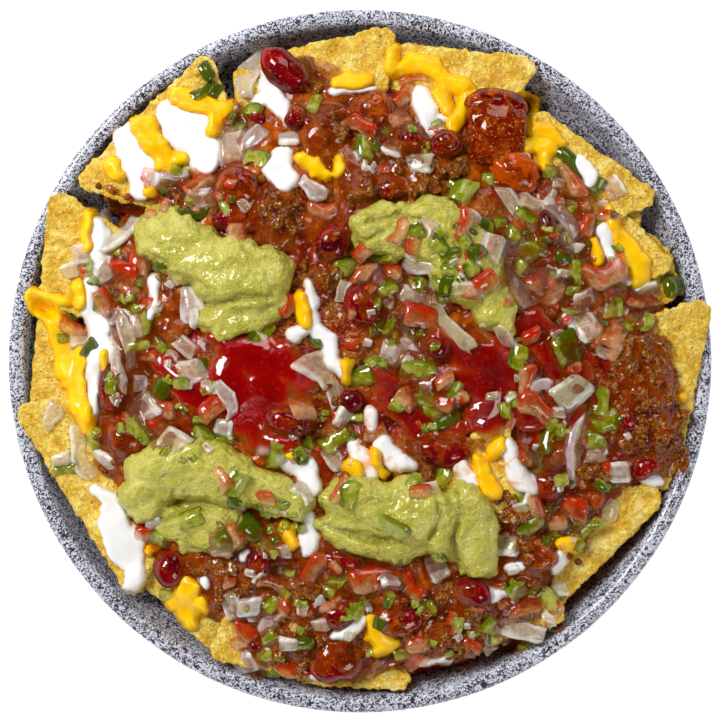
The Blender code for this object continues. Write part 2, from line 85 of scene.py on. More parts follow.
class Finish:  # a material and the few ways its nodes are made
    def __init__(self, name, **fixed):
        self.material = bpy.data.materials.new(name)
        self.material.use_nodes = True
        self.tree = self.material.node_tree
        self.shader = self.tree.nodes["Principled BSDF"]
        for socketName, value in fixed.items():
            self.shader.inputs[socketName.replace("_", " ")].default_value = value
        self.place = self.node("ShaderNodeTexCoord", output="Object")

    def node(self, kind, settings=None, output=0, **values):
        made = self.tree.nodes.new(kind)
        for key, value in (settings or {}).items():
            if key == "stops":
                ramp = made.color_ramp
                while len(ramp.elements) < len(value):
                    ramp.elements.new(0.5)
                for stop, (position, colour) in zip(ramp.elements, value):
                    stop.position = position
                    stop.color = colour
            else:
                setattr(made, key, value)
        for key, value in values.items():
            spot = int(key[1:]) if key[0] == "i" and key[1:].isdigit() else key.replace("_", " ")
            self.feed(made.inputs[spot], value)
        return Wire(self, made.outputs[output])

    def feed(self, socket, value):
        if isinstance(value, Wire):
            self.tree.links.new(value.socket, socket)
        else:
            socket.default_value = value

    def sum(self, operation, first, second):
        return self.node("ShaderNodeMath", {"operation": operation}, i0=first, i1=second)

    def clamp(self, value, low, high):  # 0 at low, 1 at high, smooth between
        return self.node("ShaderNodeMapRange", {"interpolation_type": "SMOOTHSTEP"},
                         Value=value, From_Min=low, From_Max=high)

    def cloud(self, size, detail=2.0, rough=0.5, twist=0.0, place=None):  # noise with features of a size in mm
        return self.node("ShaderNodeTexNoise", None, 0, Vector=place or self.place, Scale=1 / (size * mm),
                         Detail=detail, Roughness=rough, Distortion=twist)

    def cells(self, size, feature="F1", output=0, place=None):
        return self.node("ShaderNodeTexVoronoi", {"feature": feature}, output,
                         Vector=place or self.place, Scale=1 / (size * mm))

    def shifted(self, size, reach):  # the place, pushed about by noise so that cells lose their straight edges
        push = self.node("ShaderNodeTexNoise", None, 1, Vector=self.place, Scale=1 / (size * mm), Detail=2.0)
        return self.node("ShaderNodeVectorMath", {"operation": "MULTIPLY_ADD"}, 0, i0=push, i1=(reach * mm,) * 3, i2=self.place)

    def blend(self, amount, first, second, how="MIX"):
        return self.node("ShaderNodeMix", {"data_type": "RGBA", "blend_type": how}, 2,
                         i0=amount, i6=first, i7=second)

    def ramp(self, value, *stops):
        return self.node("ShaderNodeValToRGB", {"stops": stops}, Fac=value)

    def trait(self, name):  # a number kept on the mesh
        return self.node("ShaderNodeAttribute", {"attribute_name": name}, 2)

    def bump(self, height, strength, distance, under=None):
        made = self.node("ShaderNodeBump", None, 0, Height=height, Strength=strength, Distance=distance * mm)
        if under is not None:
            self.feed(made.socket.node.inputs["Normal"], under)
        return made

    def wear(self, **links):  # what changes over the surface
        for socketName, value in links.items():
            self.feed(self.shader.inputs[socketName.replace("_", " ")], value)
        return self.material


# ---- meshes ---------------------------------------------------------------

def addPiece(name, shape, material, nodes=(), sharp=None):
    mesh = bpy.data.meshes.new(name)
    shape.to_mesh(mesh)
    shape.free()
    return wrapPiece(name, mesh, material, nodes, sharp)


def wrapPiece(name, mesh, material, nodes=(), sharp=None):
    mesh.materials.clear()
    mesh.materials.append(material)
    mesh.shade_smooth()
    if sharp:
        mesh.set_sharp_from_angle(angle=math.radians(sharp))
    piece = bpy.data.objects.new(name, mesh)
    scene.collection.objects.link(piece)
    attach(piece, "root")
    if nodes:
        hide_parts(*nodes)
    return piece


def points(mesh):  # corner positions in mm
    flat = np.empty(len(mesh.vertices) * 3, np.float32)
    mesh.vertices.foreach_get("co", flat)
    return flat.reshape(-1, 3).astype(float) / mm


def setPoints(mesh, spots):
    mesh.vertices.foreach_set("co", (spots * mm).astype(np.float32).ravel())
    mesh.update()


def normals(mesh):
    flat = np.empty(len(mesh.vertices) * 3, np.float32)
    mesh.vertices.foreach_get("normal", flat)
    return flat.reshape(-1, 3).astype(float)


def lumps3d(spots, size, shift=0.0):  # smooth unevenness in space, about -1 to 1
    return np.array([noise.noise(Vector((x / size + shift, y / size, z / size))) for x, y, z in spots]) * 2


def softNoise(x, y, size, seed):  # smooth unevenness over the table plane, -1 to 1
    grid = np.random.default_rng(seed).uniform(-1, 1, (128, 128))
    across = x / size + 64
    along = y / size + 64
    column = np.floor(across).astype(int)
    row = np.floor(along).astype(int)
    partX = across - column
    partY = along - row
    partX = partX * partX * (3 - 2 * partX)
    partY = partY * partY * (3 - 2 * partY)
    near = grid[row % 128, column % 128] * (1 - partX) + grid[row % 128, (column + 1) % 128] * partX
    far = grid[(row + 1) % 128, column % 128] * (1 - partX) + grid[(row + 1) % 128, (column + 1) % 128] * partX
    return near * (1 - partY) + far * partY


def crumbRelief(x, y, size, seed):  # a field of small domes, 0 to 1, and a number for each dome
    rng = np.random.default_rng(seed)
    jitter = rng.uniform(0, 1, (64, 64, 2))
    reach = rng.uniform(0.45, 0.95, (64, 64))
    rise = rng.uniform(0.55, 1.0, (64, 64))
    column = np.floor(x / size).astype(int)
    row = np.floor(y / size).astype(int)
    best = np.zeros_like(x)
    which = np.zeros_like(x)
    for stepY in (-1, 0, 1):
        for stepX in (-1, 0, 1):
            cellX = column + stepX
            cellY = row + stepY
            spot = jitter[cellY % 64, cellX % 64]
            away = ((cellX + spot[..., 0] - x / size) ** 2 + (cellY + spot[..., 1] - y / size) ** 2)
            wide = reach[cellY % 64, cellX % 64]
            dome = np.sqrt(np.clip(1 - away / wide ** 2, 0, 1)) * rise[cellY % 64, cellX % 64]
            which = np.where(dome > best, jitter[cellY % 64, cellX % 64, 0], which)
            best = np.maximum(best, dome)
    return best, which


def blur(field, reach):  # spread a field of the ground grid over a reach in mm
    tall, wide = field.shape
    freqY = np.fft.fftfreq(tall)[:, None]
    freqX = np.fft.rfftfreq(wide)[None, :]
    sigma = reach / groundKit["step"]
    soften = np.exp(-2 * (math.pi * sigma) ** 2 * (freqX ** 2 + freqY ** 2))
    return np.fft.irfft2(np.fft.rfft2(field) * soften, field.shape)


def crest(field, reach):  # the highest ground within a reach in mm
    cells = round(reach / groundKit["step"])
    for axis in (0, 1):
        field = np.max([np.roll(field, shift, axis) for shift in range(-cells, cells + 1)], axis=0)
    return field


groundKit = {"step": 0.5, "half": 127.0}


class Ground:  # how high the food stands over each spot of the table
    def __init__(self):
        self.line = np.arange(-groundKit["half"], groundKit["half"] + 0.01, groundKit["step"])
        self.height = np.zeros((len(self.line), len(self.line)))
        self.acrossX, self.acrossY = np.meshgrid(self.line, self.line)

    def lay(self, *pieces):
        depsgraph = bpy.context.evaluated_depsgraph_get()
        depsgraph.update()
        for piece in pieces:
            tree = BVHTree.FromObject(piece, depsgraph)
            spots = points(piece.data)
            low = np.searchsorted(self.line, spots.min(0)[:2])
            high = np.searchsorted(self.line, spots.max(0)[:2])
            down = Vector((0, 0, -1))
            for row in range(low[1], min(high[1] + 1, len(self.line))):
                y = self.line[row] * mm
                for column in range(low[0], min(high[0] + 1, len(self.line))):
                    hit = tree.ray_cast(Vector((self.line[column] * mm, y, 0.1)), down)
                    if hit[0] is not None and hit[0].z / mm > self.height[row, column]:
                        self.height[row, column] = hit[0].z / mm

    def look(self, field, x, y):  # read a field of the grid anywhere
        across = np.clip((np.asarray(x) + groundKit["half"]) / groundKit["step"], 0, len(self.line) - 1.001)
        along = np.clip((np.asarray(y) + groundKit["half"]) / groundKit["step"], 0, len(self.line) - 1.001)
        column = across.astype(int)
        row = along.astype(int)
        partX = across - column
        partY = along - row
        near = field[row, column] * (1 - partX) + field[row, column + 1] * partX
        far = field[row + 1, column] * (1 - partX) + field[row + 1, column + 1] * partX
        return near * (1 - partY) + far * partY

    def at(self, x, y):
        return self.look(self.height, x, y)


def sheetOver(lowX, highX, lowY, highY, step):  # a flat grid to be shaped, in mm
    shape = bmesh.new()
    bmesh.ops.create_grid(shape, x_segments=max(2, round((highX - lowX) / step)),
                          y_segments=max(2, round((highY - lowY) / step)), size=0.5)
    bmesh.ops.scale(shape, vec=(highX - lowX, highY - lowY, 1), verts=shape.verts)
    bmesh.ops.translate(shape, vec=((lowX + highX) / 2, (lowY + highY) / 2, 0), verts=shape.verts)
    spots = np.array([vertex.co for vertex in shape.verts])
    return shape, spots[:, 0], spots[:, 1]


def closeSheet(shape, heights, keep, drop, bed=None):  # shape the grid, trim it, and close it underneath
    for vertex, height in zip(shape.verts, heights):
        vertex.co.z = height
    spare = [vertex for vertex, wanted in zip(shape.verts, keep) if not wanted]
    bmesh.ops.delete(shape, geom=spare, context="VERTS")
    lonely = [vertex for vertex in shape.verts if not vertex.link_faces]
    bmesh.ops.delete(shape, geom=lonely, context="VERTS")
    rim = [edge for edge in shape.edges if edge.is_boundary]
    grown = bmesh.ops.extrude_edge_only(shape, edges=rim)["geom"]
    skirt = [item for item in grown if isinstance(item, bmesh.types.BMVert)]
    for vertex in skirt:
        vertex.co.z -= drop if bed is None else min(drop, vertex.co.z - float(ground.look(bed, *vertex.co.xy)) - 0.1)
    bmesh.ops.holes_fill(shape, edges=[item for item in grown if isinstance(item, bmesh.types.BMEdge)])
    bmesh.ops.scale(shape, vec=(mm, mm, mm), verts=shape.verts)
    bmesh.ops.recalc_face_normals(shape, faces=shape.faces)


def remeshed(shape, voxel, rounds=0):  # one even skin round everything in a shape given in mm
    mesh = bpy.data.meshes.new("rough")
    bmesh.ops.scale(shape, vec=(mm, mm, mm), verts=shape.verts)
    shape.to_mesh(mesh)
    shape.free()
    holder = bpy.data.objects.new("rough", mesh)
    scene.collection.objects.link(holder)
    skin = holder.modifiers.new("skin", "REMESH")
    skin.mode = "VOXEL"
    skin.voxel_size = voxel * mm
    made = bpy.data.meshes.new_from_object(holder.evaluated_get(bpy.context.evaluated_depsgraph_get()))
    bpy.data.objects.remove(holder)
    bpy.data.meshes.remove(mesh)
    if rounds:
        smooth = bmesh.new()
        smooth.from_mesh(made)
        for _ in range(rounds):
            bmesh.ops.smooth_vert(smooth, verts=smooth.verts, factor=0.5,
                                  use_axis_x=True, use_axis_y=True, use_axis_z=True)
        smooth.to_mesh(made)
        smooth.free()
    return made


ground = Ground()

# ---- camera, light and floor ----------------------------------------------

studio = {
    "lens": 150, "rimHalf": 127.8, "rimHeight": 30.5, "centreY": 0.36,
    "keyPlace": (-0.88, 0.64, 1.28), "keySize": 0.54, "keyPower": 24.6,
    "fillPlace": (0.72, -0.8, 1.2), "fillSize": 0.48, "fillPower": 5.8,
    "topPlace": (0.16, 1.12, 1.28), "topSize": 0.64, "topPower": 5.8,
    "sky": 0.02, "floorGlow": 0.66, "floorFlat": 2.2, "floorCurve": 0.8, "wallHeight": 0.85,
}
camera = bpy.data.cameras.new("camera")
camera.lens = studio["lens"]
camera.clip_start = 0.05
camera.clip_end = 20
viewer = bpy.data.objects.new("camera", camera)
cameraHeight = studio["rimHalf"] / (camera.sensor_width / 2 / camera.lens) + studio["rimHeight"]
viewer.location = (0, studio["centreY"] * mm, cameraHeight * mm)
scene.collection.objects.link(viewer)
scene.camera = viewer


def addLight(name, place, size, power):
    lamp = bpy.data.lights.new(name, "AREA")
    lamp.shape = "SQUARE"
    lamp.size = size
    lamp.energy = power
    holder = bpy.data.objects.new(name, lamp)
    holder.location = place
    holder.rotation_euler = (-Vector(place)).to_track_quat("-Z", "Y").to_euler()
    scene.collection.objects.link(holder)


for lampName in ("key", "fill", "top"):
    addLight(lampName, studio[lampName + "Place"], studio[lampName + "Size"], studio[lampName + "Power"])
sky = bpy.data.worlds.new("sky")
sky.use_nodes = True
sky.node_tree.nodes["Background"].inputs["Color"].default_value = (1, 1, 1, 1)
sky.node_tree.nodes["Background"].inputs["Strength"].default_value = studio["sky"]
scene.world = sky

floorFinish = Finish("floor", Base_Color=(0.95, 0.95, 0.95, 1), Roughness=0.9)
floorFinish.shader.inputs["Emission Color"].default_value = (1, 1, 1, 1)
floorFinish.shader.inputs["Emission Strength"].default_value = studio["floorGlow"]
floorShape = bmesh.new()
rise = [(studio["floorFlat"] + studio["floorCurve"] * math.sin(step * math.pi / 16),
         studio["floorCurve"] * (1 - math.cos(step * math.pi / 16))) for step in range(9)]
outline = [floorShape.verts.new((x, 0, z)) for x, z in [(0, 0), *rise, (rise[-1][0], studio["wallHeight"])]]
edges = [floorShape.edges.new(pair) for pair in zip(outline, outline[1:])]
bmesh.ops.spin(floorShape, geom=outline + edges, cent=(0, 0, 0), axis=(0, 0, 1), angle=math.tau, steps=64, use_merge=True)
bmesh.ops.remove_doubles(floorShape, verts=floorShape.verts, dist=1e-5)
bmesh.ops.recalc_face_normals(floorShape, faces=floorShape.faces)
if max(floorShape.faces, key=lambda face: -face.calc_center_median().length).normal.z < 0:
    bmesh.ops.reverse_faces(floorShape, faces=floorShape.faces)
floorMesh = bpy.data.meshes.new("floor")
floorShape.to_mesh(floorMesh)
floorShape.free()
floorMesh.shade_smooth()
floorMesh.materials.append(floorFinish.material)
floor = bpy.data.objects.new("floor", floorMesh)
scene.collection.objects.link(floor)
print("studio ready")

# ---- plate ----------------------------------------------------------------

plateKit = {
    "steps": 256,
    "profile": [(0, 0), (94, 0), (96.5, 0.5), (106, 4.2), (115, 13), (121.4, 22.3), (124.6, 27.6), (125, 29.0),
                (124.4, 30.0), (123.4, 30.45), (122.2, 30.5), (120.8, 30.3), (119.8, 29.7), (119.2, 28.6),
                (117.7, 25.4), (114.8, 19.8), (109, 12.8), (101, 7.9), (92, 5.6), (60, 5.2), (0, 5.2)],
}


def platePattern():
    finish = Finish("specked glaze", Roughness=0.32, Coat_Weight=0.35, Coat_Roughness=0.12)
    place = finish.place
    worm = finish.cloud(1.3, 1.0, 0.4, 2.0, place)
    patch = finish.cloud(14.0, 2.0)
    dark = finish.clamp(worm + (patch - 0.5) * 0.12, 0.495, 0.455)
    tiny = finish.clamp(finish.cloud(0.8, 0.0), 0.38, 0.33)
    mask = finish.node("ShaderNodeMath", {"operation": "MAXIMUM"}, i0=dark, i1=tiny * 0.8)
    pale = finish.blend(finish.cloud(6.0), paint(226, 227, 240), paint(200, 201, 214))
    ink = finish.blend(finish.cloud(3.0), paint(14, 16, 34), paint(50, 50, 64))
    colour = finish.blend(mask, pale, ink)
    relief = finish.bump(1 - mask, 0.25, 0.15)
    return finish.wear(Base_Color=colour, Normal=relief)


def buildPlate():
    shape = bmesh.new()
    spots = [shape.verts.new((x * mm, 0, z * mm)) for x, z in plateKit["profile"]]
    edges = [shape.edges.new(pair) for pair in zip(spots, spots[1:])]
    bmesh.ops.spin(shape, geom=spots + edges, cent=(0, 0, 0), axis=(0, 0, 1), angle=math.tau,
                   steps=plateKit["steps"], use_merge=True)
    bmesh.ops.remove_doubles(shape, verts=shape.verts, dist=1e-6)
    bmesh.ops.recalc_face_normals(shape, faces=shape.faces)
    return addPiece("platePiece", shape, platePattern(), ["plate"])


platePiece = buildPlate()
ground.lay(platePiece)
plateTop = ground.height.copy()
print("plate ready")

# ---- corn chips -----------------------------------------------------------

chipKit = {"voxel": 0.75, "bump": 0.26, "wave": 0.35, "waveSize": 8.0, "bumpSize": 3.0, "warp": 14.0, "rag": 0.5}


def chipCrust():
    finish = Finish("fried corn", Coat_Weight=0.05, Coat_Roughness=0.35, Specular_IOR_Level=0.2, Subsurface_Weight=0.12,
                    Subsurface_Radius=(1.2 * mm, 0.8 * mm, 0.3 * mm), Subsurface_Scale=1.0)
    patch = finish.cloud(7.0, 3.0, 0.6, 0.4)
    body = finish.ramp(patch, (0.30, paint(202, 144, 18)), (0.43, paint(228, 180, 46)),
                       (0.56, paint(240, 205, 84)), (0.70, paint(249, 229, 142)))
    spotty = finish.cloud(2.2, 3.0, 0.6)
    crumbs = finish.cells(2.3, place=finish.shifted(2.5, 3.0))
    body = finish.blend(finish.clamp(crumbs, 0.38, 0.1) * finish.clamp(patch, 0.35, 0.55) * 0.7, body, paint(252, 226, 104))
    body = finish.blend(finish.clamp(spotty, 0.52, 0.66) * 0.55, body, paint(196, 150, 32))
    body = finish.blend(finish.clamp(crumbs, 0.5, 0.8) * 0.45, body, paint(190, 146, 44))
    grain = finish.cloud(0.9, 2.0)
    # the fine grain also makes the bumps: lighter on its tops and darker in its hollows, partly the corn's own
    # mottling, partly painted highlight and painted shade
    body = finish.blend(finish.clamp(grain, 0.56, 0.7) * 0.6, body, paint(252, 238, 170))
    body = finish.blend(finish.clamp(grain, 0.44, 0.3) * 0.4, body, paint(196, 146, 40))
    fleck = finish.cells(2.6) + (grain - 0.5) * 0.25
    rare = finish.cloud(4.0, 1.0)
    fleckMask = finish.clamp(fleck, 0.20, 0.10) * finish.clamp(rare, 0.42, 0.52)
    body = finish.blend(fleckMask * 0.8, body, paint(128, 96, 30))
    speck = finish.clamp(finish.cloud(0.8, 1.0, place=finish.place), 0.68, 0.74)
    body = finish.blend(speck * 0.6, body, paint(140, 112, 40))
    relief = spotty * 0.6 + grain * 0.4 + finish.cloud(0.5, 1.0) * 0.15 + finish.clamp(crumbs, 0.8, 0.0) * 0.3
    rough = 0.42 + finish.cloud(4.0) * 0.3
    return finish.wear(Base_Color=body, Roughness=rough, Normal=finish.bump(relief, 1.0, 1.3))


def buildChips():
    crust = chipCrust()
    made = []
    names = sorted(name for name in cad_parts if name.startswith("chip_"))
    for number, name in enumerate(names):
        shape = bmesh.new()
        shape.from_mesh(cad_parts[name].data)
        bmesh.ops.remove_doubles(shape, verts=shape.verts, dist=1e-6)
        bmesh.ops.scale(shape, vec=(1 / mm, 1 / mm, 1 / mm), verts=shape.verts)
        mesh = remeshed(shape, chipKit["voxel"], 2)
        spots = points(mesh)
        push = (lumps3d(spots, chipKit["waveSize"], number * 3.7) * chipKit["wave"]
                + lumps3d(spots, chipKit["bumpSize"], number * 1.3) * chipKit["bump"])
        out = normals(mesh)
        flat = np.abs(out[:, 2]) > 0.6
        blister = lumps3d(spots, chipKit["warp"], number * 5.1) * 0.4
        rag = lumps3d(spots, 1.9, number * 2.3) * chipKit["rag"] * ~flat
        spots += out * (push + rag)[:, None]
        spots[:, 2] += blister
        setPoints(mesh, spots)
        made.append(wrapPiece("chipPiece_" + name[-2:], mesh, crust, [name]))
    return made


chipPieces = buildChips()
ground.lay(*chipPieces)
print("chips ready", sum(len(piece.data.polygons) for piece in chipPieces))

# ---- chilli core ----------------------------------------------------------

heapKit = {
    "step": 0.7, "peak": 45.2, "fall": 10.5, "fallRadius": 110.0, "shoulder": 3.2,
    "reach": [(-180, 95), (-160, 96), (-145, 98), (-130, 101), (-118, 103), (-108, 109), (-99, 112), (-90, 105),
              (-78, 107), (-65, 108), (-52, 104), (-40, 100), (-30, 101), (-22, 110), (-14, 116), (-5, 114),
              (4, 103), (14, 99), (24, 101), (35, 98), (48, 97), (62, 95), (76, 95), (90, 95), (104, 101),
              (118, 92), (135, 88), (150, 92), (165, 95), (180, 95)],
    # middle, half width, rise, how much meat and how red the sauce is
    "mounds": [(-88, 59, 6, 4, 0.8, 0.3), (-66, 57.5, 6, 3, 0.8, 0.2), (-13.5, 79, 8, 5, 0.6, 0.3),
               (-13, 98, 5, 3, 0.1, 0.3), (-23, 86, 5, 3, 0.2, 0.7), (-28, 57.5, 8, 5, 0.8, 0.3),
               (-28, 46.5, 7, 5, 0.9, 0.2), (-3, 64, 8, 4, 0.7, 0.5), (0, 53, 8, 4, 0.5, 0.6), (23, 62, 8, 4, 0.9, 0.2),
               (30, 72, 7, 4, 0.8, 0.4), (12, 70, 6, 3, 0.8, 0.2), (-14, 28, 7, 4, 1.0, 0.2), (-66, 11, 6, 4, 0.6, 0.2),
               (-68, 20, 5, 4, 0.3, 0.4), (-83, -37, 7, 4, 0.3, 0.3), (-90, -24, 5, 3, 0.2, 0.2),
               (99, 2, 9, 5, 1.0, 0.0), (104, -9, 8, 6, 1.0, 0.0), (94, -11, 7, 4, 1.0, 0.1), (106, -23, 9, 5, 1.0, 0.1),
               (97, -27, 6, 4, 0.9, 0.1), (110, -32, 7, 3, 1.0, 0.1), (-51, -73, 6, 3, 0.7, 0.2), (-42, -77, 5, 3, 0.8, 0.1),
               (-53.5, -83, 5, 3, 0.7, 0.4), (-19, -86, 8, 5, 1.0, 0.1), (-18, -96, 7, 3, 0.8, 0.1),
               (-24, -103, 7, 3, 0.7, 0.1), (29, -99, 9, 5, 1.0, 0.0), (34, -86, 7, 4, 1.0, 0.1),
               (22, -93, 6, 3, 0.6, 0.2), (44, -88, 7, 4, 0.9, 0.2), (52, -54, 6, 4, 0.9, 0.1), (58, -64, 5, 4, 0.8, 0.5),
               (83, -41.5, 4, 4, 1.0, 0.0), (60, -74, 6, 3, 0.4, 0.3), (36, -97, 7, 3, 0.9, 0.0),
               (-20, -20, 6, 3, 0.8, 0.1), (-13, -14, 5, 3, 0.8, 0.1), (75, -70, 4, 2, 0.3, 0.1)],
}


def heapReach(x, y):
    angles, reaches = zip(*heapKit["reach"])
    turn = np.degrees(np.arctan2(y, x))
    return np.interp(turn, angles, reaches) + softNoise(x, y, 7.0, 5) * 2.0


def heapBody(x, y):  # the smooth form under the crumbs
    distance = np.hypot(x, y)
    inside = distance / heapReach(x, y)
    top = heapKit["peak"] - heapKit["fall"] * (distance / heapKit["fallRadius"]) ** 2
    top -= heapKit["shoulder"] * np.clip((inside - 0.8) / 0.2, 0, 1) ** 2
    return top, inside


def chilliSauce():
    finish = Finish("chilli", Coat_Weight=0.3, Coat_Roughness=0.04, Specular_IOR_Level=0.12)
    meat = finish.trait("meat")
    red = finish.trait("red")
    rise = finish.trait("rise")
    patch = finish.cloud(4.0, 3.0, 0.6)
    fine = finish.cloud(1.1, 3.0, 0.65)
    # mince colour follows the fine noise that also makes the bumps: partly the meat's own tone, partly painted
    # highlight on the grain tops and painted shade in its hollows
    mince = finish.ramp(fine, (0.30, paint(70, 26, 4)), (0.45, paint(128, 62, 10)), (0.58, paint(162, 92, 26)),
                        (0.72, paint(206, 142, 70)))
    brown = finish.ramp(patch, (0.3, paint(104, 34, 2)), (0.5, paint(156, 64, 2)), (0.72, paint(204, 108, 8)))
    deep = finish.ramp(patch, (0.3, paint(80, 4, 2)), (0.55, paint(134, 18, 2)), (0.75, paint(176, 60, 4)))
    sauce = finish.blend(finish.clamp(red + (patch - 0.5) * 0.6, 0.35, 0.65), brown, deep)
    colour = finish.blend(finish.clamp(meat + (fine - 0.5) * 1.4, 0.35, 0.75), sauce, mince)
    # painted shade: the low ground between the mounds is darkened towards (70, 14, 4)
    colour = finish.blend(finish.clamp(rise, 0.30, 0.0) * 0.6, colour, paint(70, 14, 4))
    grain = fine * (meat * 0.9 + 0.05) + finish.cloud(3.0, 2.0) * 0.45
    return finish.wear(Base_Color=colour, Roughness=0.2 + meat * 0.15,
                       Normal=finish.bump(grain, 0.8, 1.2))


def buildCore():
    shape, x, y = sheetOver(-119, 119, -119, 119, heapKit["step"])
    top, inside = heapBody(x, y)
    wobbleX = x + softNoise(x, y, 6.0, 31) * 2.2
    wobbleY = y + softNoise(x, y, 6.0, 32) * 2.2
    lumpy, _ = crumbRelief(wobbleX, wobbleY, 9.0, 41)
    small, _ = crumbRelief(wobbleX, wobbleY, 4.2, 42)
    meat = np.clip(0.32 + softNoise(x, y, 9.0, 21) * 0.8, 0, 1)
    red = np.clip(0.40 + softNoise(x, y, 12.0, 22) * 0.8, 0, 1)
    best = np.zeros_like(x)
    for middleX, middleY, half, rise, meaty, reddish in heapKit["mounds"]:
        away = np.hypot(wobbleX - middleX, wobbleY - middleY) / half
        dome = rise * np.sqrt(np.clip(1 - away ** 2, 0, 1))
        share = np.clip(1.7 - away * 1.3, 0, 1)
        meat += (meaty - meat) * share
        red += (reddish - red) * share
        best = np.maximum(best, dome)
    relief = np.maximum(best, lumpy * 2.8) + small * (0.5 + meat * 0.6)
    heights = top - 1.2 + relief - np.clip(inside - 1, 0, 1) * 170
    layers = [shape.verts.layers.float.new(key) for key in ("rise", "meat", "red")]
    for vertex, *values in zip(shape.verts, relief / 3.2, meat, red):
        for layer, value in zip(layers, values):
            vertex[layer] = value
    bed = ground.look(plateTop, x, y)
    closeSheet(shape, np.maximum(heights, bed + 0.3), (inside < 1.08) & (heights > bed - 0.5), 8.0, plateTop)
    return addPiece("chilliPiece", shape, chilliSauce(), ["heap"])


corePiece = buildCore()
ground.lay(corePiece)
print("chilli core ready", len(corePiece.data.polygons))

# ---- sour cream and cheese sauce ------------------------------------------

